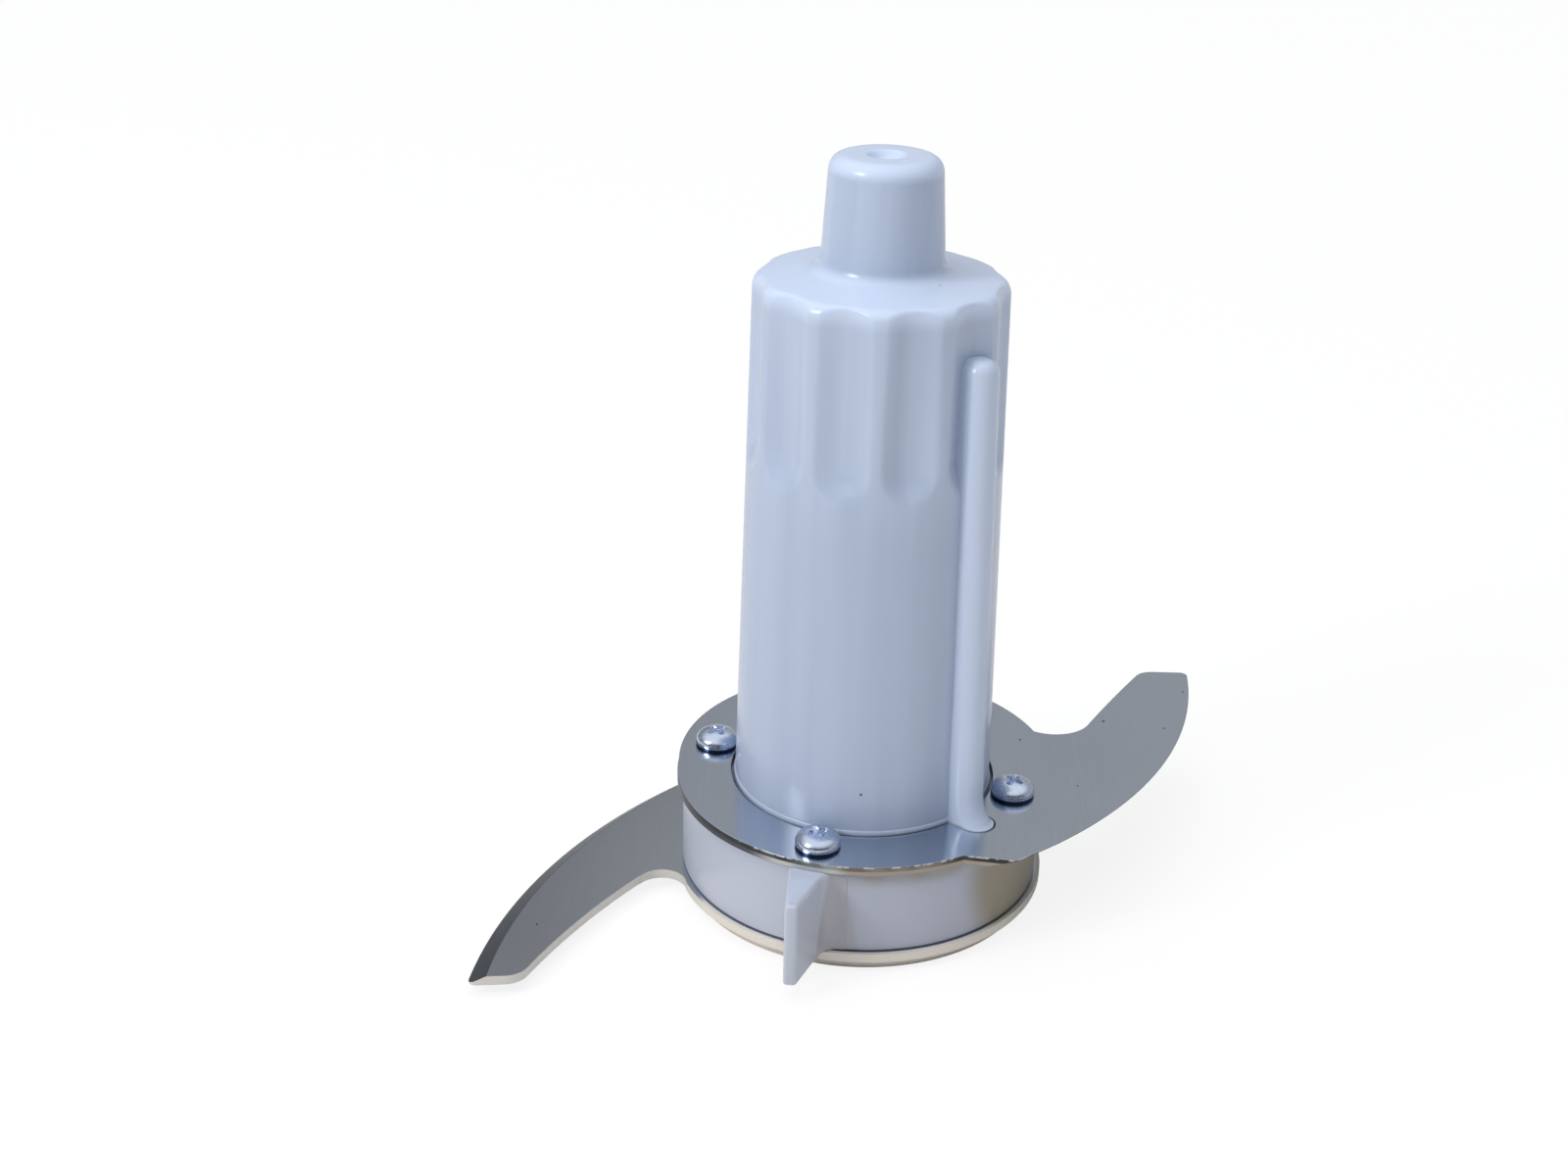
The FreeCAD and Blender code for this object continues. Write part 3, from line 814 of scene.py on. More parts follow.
def rounded(corners: Sequence[Point], longest: float) -> list[Span]:
    """Profile whose corners are rounded by true arcs.

    Args:
        corners: Radius, height and round of each corner, in order.
        longest: Straight parts longer than this are divided.

    Returns:
        Radius and height of each point.
    """
    points: list[np.ndarray] = []
    for i, (r, z, size) in enumerate(corners):
        at = np.array((r, z))
        if size <= 0:
            arc = [at]
        else:
            back = np.array(corners[i - 1][:2]) - at
            ahead = np.array(corners[i + 1][:2]) - at
            back /= np.linalg.norm(back)
            ahead /= np.linalg.norm(ahead)
            half = math.acos(float(back @ ahead)) / 2
            centre = at + (back + ahead) / np.linalg.norm(back + ahead) * size / math.sin(half)
            first = at + back * size / math.tan(half) - centre
            last = at + ahead * size / math.tan(half) - centre
            swing = math.pi - 2 * half
            arc = []
            for t in np.linspace(0, 1, ROUND_STEPS):
                spoke = first * math.sin((1 - t) * swing) + last * math.sin(t * swing)
                arc.append(centre + spoke / math.sin(swing))
        if points:
            gap = arc[0] - points[-1]
            parts = math.ceil(float(np.linalg.norm(gap)) / longest)
            points += [points[-1] + gap * k / parts for k in range(1, parts)]
        points += arc
    return [(float(p[0]), float(p[1])) for p in points]


@dataclass
class HubMoulding:
    """Tall hub with flutes, rib, shoulder and neck, on its drum with the vane (mm)."""

    base_z: float = 2.0
    drum_z: float = 3.5
    deck_z: float = 17.5
    plate_z: float = 19.0
    foot_r: float = 20.66
    top_r: float = 19.1
    shoulder_z: float = 101.9
    shoulder_round: float = 2.0
    shoulder_rise: float = 1.2  # the shoulder climbs this much towards the neck
    neck_foot_r: float = 9.3
    neck_top_r: float = 8.3
    neck_round: float = 2.3
    top_z: float = 120.0
    top_round: float = 2.3
    dimple_r: float = 2.9
    dimple_lip: float = 1.0
    dimple_floor_r: float = 1.9
    dimple_floor_round: float = 0.6
    dimple_depth: float = 1.1
    centre_r: float = 0.6  # the last ring round the axis, which one face closes
    flute_count: int = 12
    flute_first_deg: float = -104.5
    flute_r: float = 6.5
    flute_floor_r: float = 17.95
    flute_end_z: float = 78.2
    flute_blend: float = 1.1
    rib_deg: float = -41.0
    rib_r: float = 2.7
    rib_toe_r: float = 24.1
    rib_foot_r: float = 21.6
    rib_top_r: float = 19.5
    rib_toe_z: float = 19.1
    rib_flare_z: float = 24.5
    rib_top_z: float = 93.9
    rib_crown: float = 2.1
    rib_fillet: float = 0.45
    fan_deg: float = 9.6  # either side of the rib the mesh is denser
    fan_step_deg: float = 0.2
    fan_clear_deg: float = 10.0
    flare: float = 0.3  # the sleeve widens this much towards the deck
    flare_z: float = 19.7
    bead_z: float = 19.15  # fine bead along the foot
    bead_r: float = 0.45
    bead_out: float = 0.12
    foot_end_z: float = 18.6  # this and the next seven say where the sleeve's rings lie
    plain_z: Span = (26.0, 70.5)
    scoop_z: float = 71.6
    grip_z: float = 80.0
    sleeve_end_z: float = 98.5
    ring_gap: float = 0.4
    just_below: float = 1e-4
    just_above: float = 0.05
    bore_r: float = 16.5
    ceiling_z: float = 98.5
    socket_r: float = 5.0
    socket_z: float = 115.5
    key_w: float = 3.0
    key_depth: float = 1.3
    bore_edge: float = 0.3
    ceiling_edge: float = 0.6
    tube_r: float = 18.9
    drum_r: float = 29.1
    drum_round: float = 0.4
    rim_wall: float = 2.6
    roof: float = 3.0
    column_r: float = 4.0  # columns round the screws, with room for the base's bosses
    column_count: int = 4
    column_first_deg: float = -104.5
    column_pitch_r: float = 25.01
    boss_hole_r: float = 2.85
    boss_hole_z: float = 10.3
    screw_hole_r: float = 2.0
    lift: float = 0.05  # keeps the feet of joined walls out of one plane
    overlap: float = 0.2  # joined walls reach this far into one another
    deck_overlap: float = 0.5
    vane_left_x: float = -10.5
    vane_tip_y: float = -38.8
    vane_right_x: float = -8.6
    vane_root: tuple[float, float] = (-4.6, -28.7)
    vane_left_round: float = 0.85
    vane_right_round: float = 0.765
    vane_root_leg: float = 3.0
    vane_top_round: float = 0.8
    vane_foot_round: float = 0.3

    def angles(self) -> np.ndarray:
        """Angles of the hub's columns, denser beside the rib.

        Returns:
            Sorted angles in radians.
        """
        even = np.arange(-180.0, 180.0, 1.0)
        step = self.fan_step_deg
        beside = np.arange(-self.fan_deg, self.fan_deg + step / 2, step) + self.rib_deg
        far = np.abs(even - self.rib_deg) > self.fan_clear_deg
        return np.radians(np.sort(np.concatenate([even[far], beside])))

    def sleeve(self, angles: np.ndarray, z: float) -> np.ndarray:
        """Radius of the tapered sleeve with its flutes.

        Args:
            angles: Angles in radians.
            z: Height.

        Returns:
            Radius at each angle.
        """
        taper = (self.top_r - self.foot_r) / (self.shoulder_z - self.plate_z)
        plain = self.foot_r + taper * (z - self.plate_z)
        if z < self.flare_z:
            plain += self.flare * (self.flare_z - z) / (self.flare_z - self.deck_z)
        off = (z - self.bead_z) / self.bead_r
        if abs(off) < 1:
            plain += self.bead_out * math.sqrt(1 - off * off)
        return self.grooved(angles, plain, z)

    def grooved(self, angles: np.ndarray, plain: float, z: float) -> np.ndarray:
        """Cuts the flutes into one round level.

        Args:
            angles: Angles in radians.
            plain: Radius without the flutes.
            z: Height.

        Returns:
            Radius at each angle.
        """
        radius = np.full(len(angles), plain)
        below = max(self.flute_end_z - z, 0.0)
        if below >= self.flute_r:
            return radius
        cutter = math.sqrt(self.flute_r**2 - below**2)
        axis = self.flute_floor_r + self.flute_r
        pitch = 2 * math.pi / self.flute_count
        off = np.mod(angles - math.radians(self.flute_first_deg) + pitch / 2, pitch) - pitch / 2
        side = axis * np.sin(off)
        inside = np.maximum(cutter**2 - side**2, 0.0)
        groove = np.where(np.abs(side) < cutter, axis * np.cos(off) - np.sqrt(inside), NOWHERE)
        return soft_min(radius, groove, self.flute_blend)

    def rib_reach(self, z: float) -> float:
        """Distance of the rib's centre line from the hub's axis.

        Args:
            z: Height.

        Returns:
            The distance, which grows to the toe in a quarter round.
        """
        if z <= self.rib_toe_z:
            return self.rib_toe_r
        if z < self.rib_flare_z:
            turn = math.acos(1 - (z - self.rib_toe_z) / (self.rib_flare_z - self.rib_toe_z))
            return self.rib_foot_r + (self.rib_toe_r - self.rib_foot_r) * (1 - math.sin(turn))
        share = (z - self.rib_flare_z) / (self.rib_top_z - self.rib_flare_z)
        return self.rib_foot_r + (self.rib_top_r - self.rib_foot_r) * share

    def with_rib(self, angles: np.ndarray, radius: np.ndarray, z: float) -> np.ndarray:
        """Adds the rib to one level of the sleeve.

        Args:
            angles: Angles in radians.
            radius: Radius of the sleeve.
            z: Height.

        Returns:
            Radius with the rib.
        """
        if z >= self.rib_top_z:
            return radius
        off = np.angle(np.exp(1j * (angles - math.radians(self.rib_deg))))
        reach = self.rib_reach(z)
        over = max(z - self.rib_top_z + self.rib_crown, 0.0)
        half = self.rib_r - self.rib_crown + math.sqrt(max(self.rib_crown**2 - over**2, 0.0))
        sine = np.maximum(np.abs(np.sin(off)), TINY)
        flank = half / sine
        under = np.maximum(half**2 - (reach * sine) ** 2, 0.0)
        nose = reach * np.cos(off) + np.sqrt(under)
        ahead = np.abs(off) < math.pi / 4
        rib = np.where(flank * np.cos(off) >= reach, nose, flank)
        rib = np.where(ahead, rib, 0.0)
        return soft_max(radius, rib, self.rib_fillet)

    def levels(self) -> list[float]:
        """Heights of the sleeve's rings, from the deck to the shoulder's round.

        Returns:
            Heights in order.
        """
        foot = list(np.arange(self.deck_z, self.foot_end_z, self.ring_gap))
        bead = list(self.bead_z - self.bead_r * np.cos(np.linspace(0.0, math.pi, 9)))
        turns = np.linspace(0.0, math.pi / 2, 22)
        flare = list(self.rib_toe_z + (self.rib_flare_z - self.rib_toe_z) * (1 - np.cos(turns)))
        plain = list(np.linspace(*self.plain_z, 8))
        scoop = list(np.linspace(self.scoop_z, self.flute_end_z + self.ring_gap, 24))
        dome_z = self.rib_top_z - self.rib_crown
        grip = list(np.linspace(self.grip_z, dome_z - self.ring_gap, 5))
        swing = np.linspace(0.0, math.pi / 2, 14)
        dome = list(self.rib_top_z - self.rib_crown * (1 - np.sin(swing)) - self.just_below)
        last = list(np.linspace(self.rib_top_z + self.just_above, self.sleeve_end_z, 4))
        return sorted(foot + bead + flare + plain + scoop + grip + dome + last)

    def outside(self, skin: Skin) -> None:
        """Builds the sleeve, shoulder, neck and dimple as one skin.

        Args:
            skin: Mesh under construction.
        """
        angles = self.angles()
        rings = []
        for z in self.levels():
            radius = self.with_rib(angles, self.sleeve(angles, z), z)
            rings.append(turned(angles, radius, z))
        for r, z in self.crown_profile(self.sleeve_end_z):
            rings.append(turned(angles, self.grooved(angles, r, z), z))
        skin.stack(rings, close_high=True)

    def crown_profile(self, start_z: float) -> list[Span]:
        """Radius and height from the sleeve's upper end over shoulder and neck to the dimple.

        Args:
            start_z: Height at which the profile takes over from the sleeve.

        Returns:
            Points in order, the first one left out.
        """
        taper = (self.top_r - self.foot_r) / (self.shoulder_z - self.plate_z)
        floor = self.top_z - self.dimple_depth
        corners = [
            (self.top_r + taper * (start_z - self.shoulder_z), start_z, 0.0),
            (self.top_r, self.shoulder_z, self.shoulder_round),
            (self.neck_foot_r, self.shoulder_z + self.shoulder_rise, self.neck_round),
            (self.neck_top_r, self.top_z, self.top_round),
            (self.dimple_r, self.top_z, self.dimple_lip),
            (self.dimple_floor_r, floor, self.dimple_floor_round),
            (self.centre_r, floor, 0.0),
        ]
        return rounded(corners, longest=2.0)[1:]

    def inside(self, skin: Skin) -> None:
        """Builds the bore, its ceiling and the keyed drive socket.

        Args:
            skin: Mesh under construction.
        """
        half = self.key_w / 2
        key_r = self.socket_r + self.key_depth
        side = math.degrees(math.asin(half / self.socket_r))
        corner = math.degrees(math.atan2(half, key_r))
        keys = [turn + off for turn in (0.0, 180.0) for off in (-side, -corner, corner, side)]
        even = np.arange(0.0, 360.0, 3.0)
        angles = np.radians(np.sort(np.unique(np.concatenate([even, np.mod(keys, 360.0)]))))
        key = key_r / np.maximum(np.abs(np.cos(angles)), TINY)
        in_key = np.abs(np.tan(angles)) <= math.tan(math.radians(corner)) + TINY
        socket = np.where(in_key, key, self.socket_r)
        profile = (
            (self.tube_r, self.deck_z - self.roof + self.overlap),
            (self.tube_r, self.base_z),
            (self.bore_r + self.bore_edge, self.base_z),
            (self.bore_r, self.base_z + self.bore_edge),
            (self.bore_r, self.ceiling_z - self.ceiling_edge),
            (self.bore_r - self.ceiling_edge, self.ceiling_z),
            (socket + self.bore_edge, self.ceiling_z),
            (socket, self.ceiling_z + self.bore_edge),
            (socket, self.socket_z),
            (self.centre_r, self.socket_z),
        )
        skin.stack([turned(angles, r, z)[::-1] for r, z in profile], close_high=True)

    def drum(self, skin: Skin) -> None:
        """Builds the drum: the hollow under its roof, its wall with small rounds, and its top.

        Args:
            skin: Mesh under construction.
        """
        angles = full_turn(1.5)
        roof_z = self.deck_z - self.roof
        inner = np.full(len(angles), self.drum_r - self.rim_wall)
        bed = (self.boss_hole_r + self.column_r) / 2  # the wall steps back where a column stands in it
        for turn in self.column_turns():
            side = self.column_pitch_r * np.sin(angles - turn)
            ahead = self.column_pitch_r * np.cos(angles - turn)
            beside = (np.abs(side) < bed) & (ahead > 0)
            reach = ahead + np.sqrt(np.maximum(bed**2 - side**2, 0.0))
            inner = np.where(beside, np.maximum(inner, reach), inner)
        profile = [(self.tube_r - self.overlap, roof_z), (inner, roof_z), (inner, self.drum_z)]
        quarter = np.linspace(0, math.pi / 2, 5)
        for a in quarter:
            radius = self.drum_r - self.drum_round * (1 - math.sin(a))
            profile.append((radius, self.drum_z + self.drum_round * (1 - math.cos(a))))
        for a in quarter:
            radius = self.drum_r - self.drum_round * (1 - math.cos(a))
            profile.append((radius, self.deck_z - self.drum_round * (1 - math.sin(a))))
        profile.append((self.foot_r - self.deck_overlap, self.deck_z))
        skin.stack([turned(angles, r, z) for r, z in profile])

    def column_turns(self) -> list[float]:
        """Angles of the columns in radians."""
        step = 360.0 / self.column_count
        return [math.radians(self.column_first_deg + step * i) for i in range(self.column_count)]

    def columns(self, skin: Skin) -> None:
        """Builds the columns that hang from the drum's roof round the screws.

        Args:
            skin: Mesh under construction.
        """
        angles = full_turn(5.0)
        top = self.deck_z - self.roof + self.overlap
        profile = (
            (self.screw_hole_r, top),
            (self.screw_hole_r, self.boss_hole_z),
            (self.boss_hole_r, self.boss_hole_z),
            (self.boss_hole_r, self.drum_z + 2 * self.lift),
            (self.column_r, self.drum_z + 2 * self.lift),
            (self.column_r, top),
        )
        for turn in self.column_turns():
            centre = np.array((math.cos(turn), math.sin(turn), 0.0)) * self.column_pitch_r
            skin.stack([turned(angles, r, z) + centre for r, z in profile])

    def vane_outline(self) -> np.ndarray:
        """Level outline of the vane, counter-clockwise from its hidden corner.

        Returns:
            Points in the plane.
        """
        root = np.array(self.vane_root)
        tip_right = np.array([self.vane_right_x, self.vane_tip_y])
        tip_left = np.array([self.vane_left_x, self.vane_tip_y])
        wall_r = self.drum_r - self.rim_wall / 2  # its hidden side ends inside the drum's wall
        points = [np.array([self.vane_left_x, -math.sqrt(wall_r**2 - self.vane_left_x**2)])]
        points += self.corner(tip_left, np.array([0.0, 1.0]), np.array([1.0, 0.0]), self.vane_left_round)
        along = (root - tip_right) / np.linalg.norm(root - tip_right)
        points += self.corner(tip_right, np.array([-1.0, 0.0]), along, self.vane_right_round)
        around = np.array([-root[1], root[0]]) / np.linalg.norm(root)
        points += self.corner(root, -along, around, self.vane_root_leg, leg=True)
        points.append(np.array([0.0, -wall_r]))
        return np.array(points)

    @staticmethod
    def corner(
        at: np.ndarray, back: np.ndarray, ahead: np.ndarray, size: float, leg: bool = False
    ) -> list[np.ndarray]:
        """Rounded corner of an outline.

        Args:
            at: The sharp corner.
            back: Unit direction back to the previous point.
            ahead: Unit direction on to the next point.
            size: Radius of the round, or its leg.
            leg: Whether size is the leg.

        Returns:
            Points along the round.
        """
        half = math.acos(float(np.clip(back @ ahead, -1, 1))) / 2
        reach = size if leg else size / math.tan(half)
        start, end = at + back * reach, at + ahead * reach
        made = []
        for t in np.linspace(0, 1, ROUND_STEPS):
            first = start * (1 - t) + at * t
            second = at * (1 - t) + end * t
            made.append(first * (1 - t) + second * t)
        return made

    def vane(self, skin: Skin) -> None:
        """Builds the vane as a prism whose top edge is softly rounded.

        Args:
            skin: Mesh under construction.
        """
        outline = self.vane_outline()
        before = outline - np.roll(outline, 1, axis=0)
        after = np.roll(outline, -1, axis=0) - outline
        before /= np.linalg.norm(before, axis=1)[:, None]
        after /= np.linalg.norm(after, axis=1)[:, None]
        mean = before + after
        mean /= np.linalg.norm(mean, axis=1)[:, None]
        inward = np.stack([-mean[:, 1], mean[:, 0]], axis=1)
        rings = []
        for back, z in self.vane_levels():
            shifted = outline + inward * back
            rings.append(np.column_stack([shifted, np.full(len(shifted), z)]))
        skin.stack(rings, close_low=True, close_high=True)

    def vane_levels(self) -> list[Span]:
        """Inward shift and height of the vane's rings.

        Returns:
            Pairs from bottom to top.
        """
        levels = []
        for a in np.linspace(0, math.pi / 2, 4):
            low = self.vane_foot_round
            levels.append((low * (1 - math.sin(a)), self.drum_z + self.lift + low * (1 - math.cos(a))))
        for a in np.linspace(0, math.pi / 2, 7):
            top = self.vane_top_round
            levels.append((top * (1 - math.cos(a)), self.deck_z - top * (1 - math.sin(a))))
        return levels

    def build(self, finish: MouldedAcetal) -> bpy.types.Object:
        """Builds and dresses the moulding.

        Args:
            finish: Plastic of the moulding.

        Returns:
            The object.
        """
        skin = Skin()
        self.outside(skin)
        self.inside(skin)
        self.drum(skin)
        self.columns(skin)
        self.vane(skin)
        made = skin.object("hub_moulding")
        made.data.materials.append(finish.build())
        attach(made, "root")
        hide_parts("blade_hub")
        LOG.info("hub moulding: %d faces", len(made.data.polygons))
        return made


@dataclass
class PanHeadScrews:
    """Four plated pan head screws with cross recesses (mm)."""

    count: int = 4
    first_deg: float = -104.5
    pitch_r: float = 25.01
    seat_z: float = 19.0
    head_r: float = 3.5
    head_h: float = 2.6
    rim_h: float = 0.8
    rim_round: Span = (0.15, 0.12)  # how far the rim's underside is rounded in and up
    dome_power: float = 2.6
    dome_rings: int = 56
    dome_end: float = 0.02  # angle of the last ring, in radians; one face closes it
    recess_l: float = 3.4
    recess_w: float = 0.8
    recess_depth: float = 0.9
    recess_slope: float = 0.24  # width of the recess's sloping sides
    recess_run: float = 0.75  # length of its sloping ends
    core_r: float = 0.85
    core_slope: float = 0.3
    shank_r: float = 1.7
    shank_l: float = 14.5
    thread_pitch: float = 1.4
    thread_depth: float = 0.3
    thread_step: float = 0.2
    point_l: float = 2.2
    point_share: float = 0.25
    turns_deg: tuple[float, ...] = (25.0, 59.0, 93.0, 127.0)

    def head_height(self, x: np.ndarray, y: np.ndarray) -> np.ndarray:
        """Height of the head over its seat, with the cross recess.

        Args:
            x: Position along one arm of the cross.
            y: Position along the other arm.

        Returns:
            Height at each position.
        """
        share = np.clip(np.hypot(x, y) / self.head_r, 0, 1)
        rise = np.sqrt(np.maximum(1 - share**self.dome_power, 0))
        dome = self.rim_h + (self.head_h - self.rim_h) * rise
        depth = np.zeros_like(x)
        for a, b in ((x, y), (y, x)):
            side = (self.recess_w + self.recess_slope) / 2
            wide = np.clip((side - np.abs(b)) / self.recess_slope, 0, 1)
            long = np.clip((self.recess_l / 2 - np.abs(a)) / self.recess_run, 0, 1)
            depth = np.maximum(depth, wide * long)
        core = np.clip((self.core_r - np.hypot(x, y)) / self.core_slope, 0, 1)
        depth = np.maximum(depth, core)
        return dome - self.recess_depth * depth

    def screw(self, skin: Skin, at: Vector, turn: float) -> None:
        """Builds one screw.

        Args:
            skin: Mesh under construction.
            at: Centre of the seat.
            turn: Angle of the cross, in radians.
        """
        angles = full_turn(3.0)
        centre = np.array(at)
        inward, upward = self.rim_round
        rim = [(self.head_r - inward, 0.0), (self.head_r, upward), (self.head_r, self.rim_h)]
        rings = [turned(angles, r, z) for r, z in [(self.shank_r, 0.0)] + rim]
        for share in np.sin(np.linspace(math.pi / 2, self.dome_end, self.dome_rings))[1:]:
            r = self.head_r * share
            z = self.head_height(r * np.cos(angles - turn), r * np.sin(angles - turn))
            rings.append(turned(angles, r, z))
        skin.stack([ring + centre for ring in rings], close_high=True)
        self.thread(skin, centre)

    def thread(self, skin: Skin, centre: np.ndarray) -> None:
        """Builds the threaded shank under a head, point down.

        Args:
            skin: Mesh under construction.
            centre: Centre of the head's seat.
        """
        angles = full_turn(12.0)
        rings = []
        for z in np.arange(-self.shank_l, 0.0, self.thread_step):
            phase = np.mod(z / self.thread_pitch - angles / (2 * math.pi), 1.0)
            crest = np.maximum(1 - np.abs(phase - 0.5) * 4, 0.0)  # a ridge over half the pitch
            taper = min(1.0, self.point_share + (z + self.shank_l) / self.point_l)
            radius = (self.shank_r - self.thread_depth * (1 - crest)) * taper
            rings.append(turned(angles, radius, z) + centre)
        skin.stack(rings, close_low=True)

    def build(self, finish: PlatedSteel) -> bpy.types.Object:
        """Builds and dresses the screws.

        Args:
            finish: Plating of the screws.

        Returns:
            The object.
        """
        skin = Skin()
        for i in range(self.count):
            angle = math.radians(self.first_deg + 360.0 / self.count * i)
            at = Vector((self.pitch_r * math.cos(angle), self.pitch_r * math.sin(angle), self.seat_z))
            self.screw(skin, at, math.radians(self.turns_deg[i]))
        made = skin.object("pan_head_screws", smooth_deg=35.0)
        made.data.materials.append(finish.build())
        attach(made, "root")
        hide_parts("blade_screws")
        LOG.info("screws: %d faces", len(made.data.polygons))
        return made


@dataclass
class SteelBlades:
    """The two punched and ground blades, whose solids keep their shape."""

    upper: PolishedStainless
    lower: PolishedStainless

    def build(self, nodes: dict[str, bpy.types.Object]) -> None:
        """Dresses both blades.

        Args:
            nodes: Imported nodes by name.
        """
        for name, finish in (("upper_blade", self.upper), ("lower_blade", self.lower)):
            dress(nodes[name], finish.build())
            LOG.info("%s dressed", name)


@dataclass
class BaseRing:
    """The moulded ring under the lower blade, whose solid keeps its shape."""

    node: str = "base_ring"

    def build(self, nodes: dict[str, bpy.types.Object], finish: SatinBase) -> None:
        """Dresses the ring.

        Args:
            nodes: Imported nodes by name.
            finish: Plastic of the ring.
        """
        dress(nodes[self.node], finish.build())
        LOG.info("%s dressed", self.node)


def dress(piece: bpy.types.Object, material: bpy.types.Material) -> None:
    """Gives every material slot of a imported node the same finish.

    Args:
        piece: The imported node.
        material: The finish.
    """
    if not piece.material_slots:
        piece.data.materials.append(material)
    for place in piece.material_slots:
        place.material = material


@dataclass
class Studio:
    """Pale floor, soft lamps and the camera of the photograph (metres).

    A span of the room holds the heights or sides of a direction where a mask is zero and one.
    """

    floor_size: float = 6.0
    floor_tone: str = "#F2EFEA"
    floor_glow: float = 0.85
    ambient: str = "#959AA2"
    wall: str = "#B1B1B2"
    zenith: str = WHITE
    zenith_z: Span = (0.5, 0.85)
    corner: str = "#3C3E42"  # dark things in the room: at the left, and behind the camera
    corner_x: Span = (-0.02, -0.22)
    corner_y: Span = (-0.25, -0.7)
    corner_z: Span = (0.6, 0.4)
    corner_left: float = 0.4
    corner_front: float = 0.85
    key_at: Point = (-0.7, -0.45, 0.6)
    key_aim: Point = (0.0, 0.0, 0.06)
    key_size: float = 0.25
    key_power: float = 3.4
    sky_power: float = 1.75
    sky_deg: float = 60.0
    sky_from: Point = (-0.12, -0.1, 1.0)
    camera_at: Point = (0.0, -0.289678, 0.184463)
    right: Point = (0.9992, 0.0202, 0.0358)
    ahead: Point = (-0.0045, 0.9201, -0.3917)
    clip: Span = (0.01, 50.0)
    sensor_mm: float = 36.0
    focal_px: float = 2071.112
    centre_px: Span = (880.233, 540.771)
    frame_px: tuple[int, int] = (1600, 1200)

    def camera(self) -> None:
        """Places the camera as the photograph was taken."""
        data = bpy.data.cameras.new("photo_camera")
        wide, high = self.frame_px
        data.sensor_width = self.sensor_mm
        data.lens = data.sensor_width * self.focal_px / wide
        data.shift_x = (wide / 2 - self.centre_px[0]) / wide
        data.shift_y = (self.centre_px[1] - high / 2) / wide
        data.clip_start, data.clip_end = self.clip
        made = placed("photo_camera", data)
        x = Vector(self.right).normalized()
        z = -Vector(self.ahead).normalized()
        y = z.cross(x).normalized()
        turn = Matrix((y.cross(z), y, z)).transposed().to_4x4()
        made.matrix_world = Matrix.Translation(Vector(self.camera_at)) @ turn
        bpy.context.scene.camera = made

    def key_box(self) -> None:
        """Adds a soft box at the left of the camera."""
        data = bpy.data.lights.new("key_box", "AREA")
        data.shape = "RECTANGLE"
        data.size, data.size_y = self.key_size, self.key_size
        data.energy = self.key_power
        data.color = linear(WHITE)[:3]
        made = placed("key_box", data)
        made.location = self.key_at
        way = Vector(self.key_aim) - Vector(self.key_at)
        made.rotation_euler = way.to_track_quat("-Z", "Y").to_euler()

    def sky(self) -> None:
        """Adds broad even light from above, the same over the whole floor."""
        data = bpy.data.lights.new("sky_light", "SUN")
        data.energy = self.sky_power
        data.angle = math.radians(self.sky_deg)
        made = placed("sky_light", data)
        made.rotation_euler = Vector(self.sky_from).to_track_quat("Z", "Y").to_euler()
        made.visible_glossy = False  # polished steel mirrors the room, not this light

    def world(self) -> None:
        """Sets the surroundings: white to the eye, a graded pale room in reflections."""
        scene = bpy.context.scene
        scene.world = bpy.data.worlds.new("studio")
        scene.world.use_nodes = True
        tree = scene.world.node_tree
        tree.nodes.clear()
        ray = add(tree, Kind.PATH).outputs
        room = self.room(tree)
        seen = layered(tree, room, [(ray["Is Camera Ray"], WHITE)])
        either = {0: ray["Is Glossy Ray"], 1: ray["Is Transmission Ray"]}
        mirror = add(tree, Kind.MATHS, either, operation="MAXIMUM").outputs[0]
        either = {0: mirror, 1: ray["Is Camera Ray"]}
        direct = add(tree, Kind.MATHS, either, operation="MAXIMUM").outputs[0]
        lit = {"Factor": direct, "A": linear(self.ambient), "B": seen}
        shown = add(tree, Kind.MIX, lit, data_type="RGBA").outputs["Result"]
        back = add(tree, Kind.BACKGROUND, {"Color": shown, "Strength": 1.0})
        add(tree, Kind.WORLD_OUTPUT, {"Surface": back.outputs["Background"]})

    def room(self, tree: Tree) -> Socket:
        """Colour of the room that the object mirrors.

        Args:
            tree: Tree of the world.

        Returns:
            The colour in each direction.
        """
        way = add(tree, Kind.COORDS).outputs["Generated"]
        parts = add(tree, Kind.SPLIT, {"Vector": way}).outputs
        rise = band(tree, parts["Z"], self.zenith_z)
        left = band(tree, parts["X"], self.corner_x)
        front = band(tree, parts["Y"], self.corner_y)
        low = band(tree, parts["Z"], self.corner_z)
        dark: Socket | float = 0.0
        for mask, share in ((left, self.corner_left), (front, self.corner_front)):
            near = add(tree, Kind.MATHS, {0: mask, 1: low}, operation="MULTIPLY").outputs[0]
            dim = add(tree, Kind.MATHS, {0: near, 1: share}, operation="MULTIPLY").outputs[0]
            dark = add(tree, Kind.MATHS, {0: dark, 1: dim}, operation="MAXIMUM").outputs[0]
        return layered(tree, self.wall, [(rise, self.zenith), (dark, self.corner)])

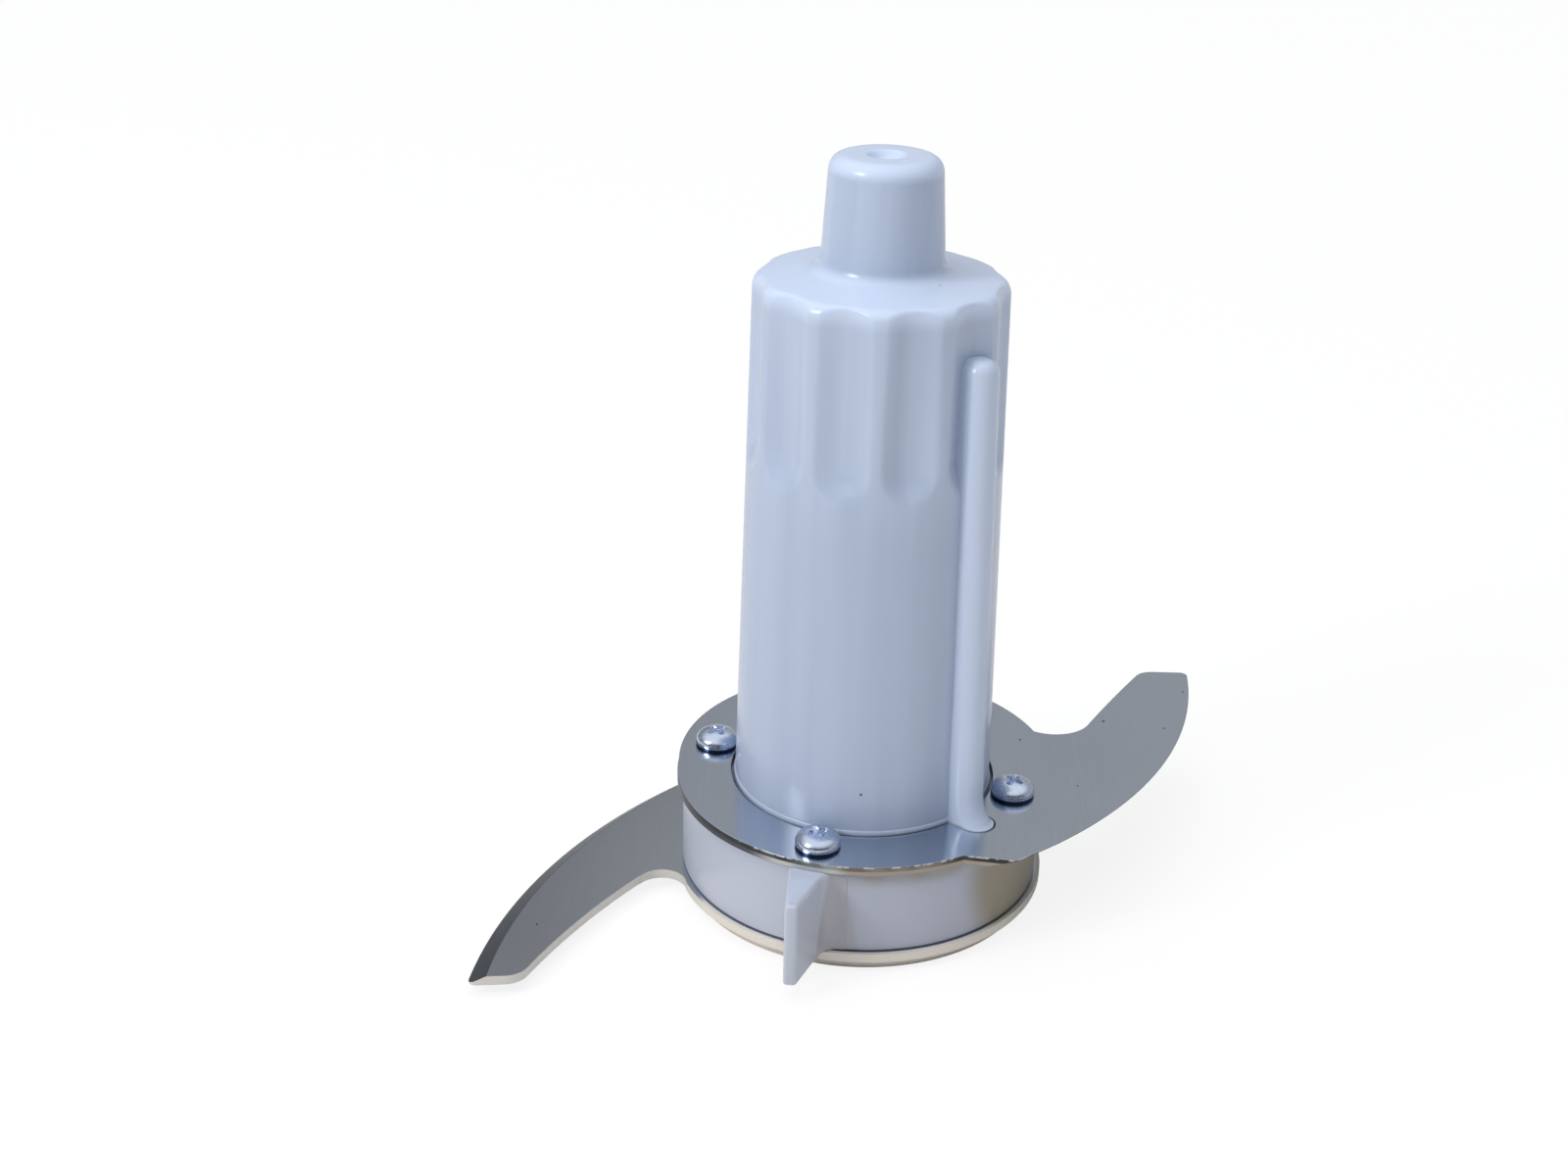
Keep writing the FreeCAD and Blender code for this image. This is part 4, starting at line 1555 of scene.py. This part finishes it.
    def floor(self) -> None:
        """Adds the pale floor, which keeps a faint shadow of the object."""
        half = self.floor_size / 2
        mesh = bpy.data.meshes.new("studio_floor")
        corners = [(-half, -half, 0.0), (half, -half, 0.0), (half, half, 0.0), (-half, half, 0.0)]
        mesh.from_pydata(corners, [], [(0, 1, 2, 3)])
        floor = placed("studio_floor", mesh)
        material = bpy.data.materials.new("painted_floor")
        material.use_nodes = True
        tree = material.node_tree
        tree.nodes.clear()
        eye = add(tree, Kind.PATH).outputs["Is Camera Ray"]
        paint = add(tree, Kind.DIFFUSE, {"Color": layered(tree, self.floor_tone, [(eye, WHITE)])})
        glow = add(tree, Kind.EMISSION, {"Color": linear(WHITE), "Strength": 1.0})
        share = add(tree, Kind.MATHS, {0: eye, 1: self.floor_glow}, operation="MULTIPLY")
        both = add(tree, Kind.MIX_SHADER, {0: share.outputs[0], 1: paint.outputs[0], 2: glow.outputs[0]})
        add(tree, Kind.OUTPUT, {"Surface": both.outputs[0]})
        mesh.materials.append(material)

    def build(self) -> None:
        """Builds the whole studio."""
        self.camera()
        self.world()
        self.floor()
        self.key_box()
        self.sky()
        view = bpy.context.scene.view_settings
        view.view_transform = "Standard"
        LOG.info("studio built")


def main() -> None:
    """Builds the pieces in order."""
    logging.basicConfig(level=logging.INFO, format="%(message)s")
    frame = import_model()
    HubMoulding().build(
        MouldedAcetal(
            name="acetal_moulded_gloss",
            spots=(((0.0, -20.5, 26.0), 0.28), ((3.6, -8.5, 113.5), 0.2), ((8.4, -7.2, 103.1), 0.32)),
        )
    )
    PanHeadScrews().build(PlatedSteel(name="zinc_plated_bright"))
    SteelBlades(
        upper=PolishedStainless(
            name="stainless_polished_upper",
            under_mm=17.5,
            # share of the painted glints on the upper rim
            glints=0.5,
            spots=(
                ((41.1, 19.4, 19.0), 0.3),
                ((51.4, 17.8, 19.0), 0.26),
                ((56.3, 31.6, 19.0), 0.26),
                ((26.4, 11.6, 19.0), 0.26),
                ((35.0, -3.0, 19.0), 0.22),
            ),
        ),
        lower=PolishedStainless(
            name="stainless_polished_lower",
            under_mm=2.0,
            tone="#B6BDC7",
            cloudy="#AFB6BF",
            outer="#9BA0A8",
            # painted reflections: the lower blade's cut edges and rim light and warm
            sheared_and_reflection="#DDD2C6",
            burnish_reflection="#D6D1C8",
            silver_reflection="#DDD2C6",
            left="#D2CFCA",
            torn_share=0.85,
            rim_reflection_share=0.85,
            spots=(((-49.3, -25.5, 3.5), 0.22),),
        ),
    ).build(frame["nodes"])
    BaseRing().build(frame["nodes"], SatinBase(name="base_plastic_satin"))
    Studio().build()


if __name__ == "__main__":
    main()
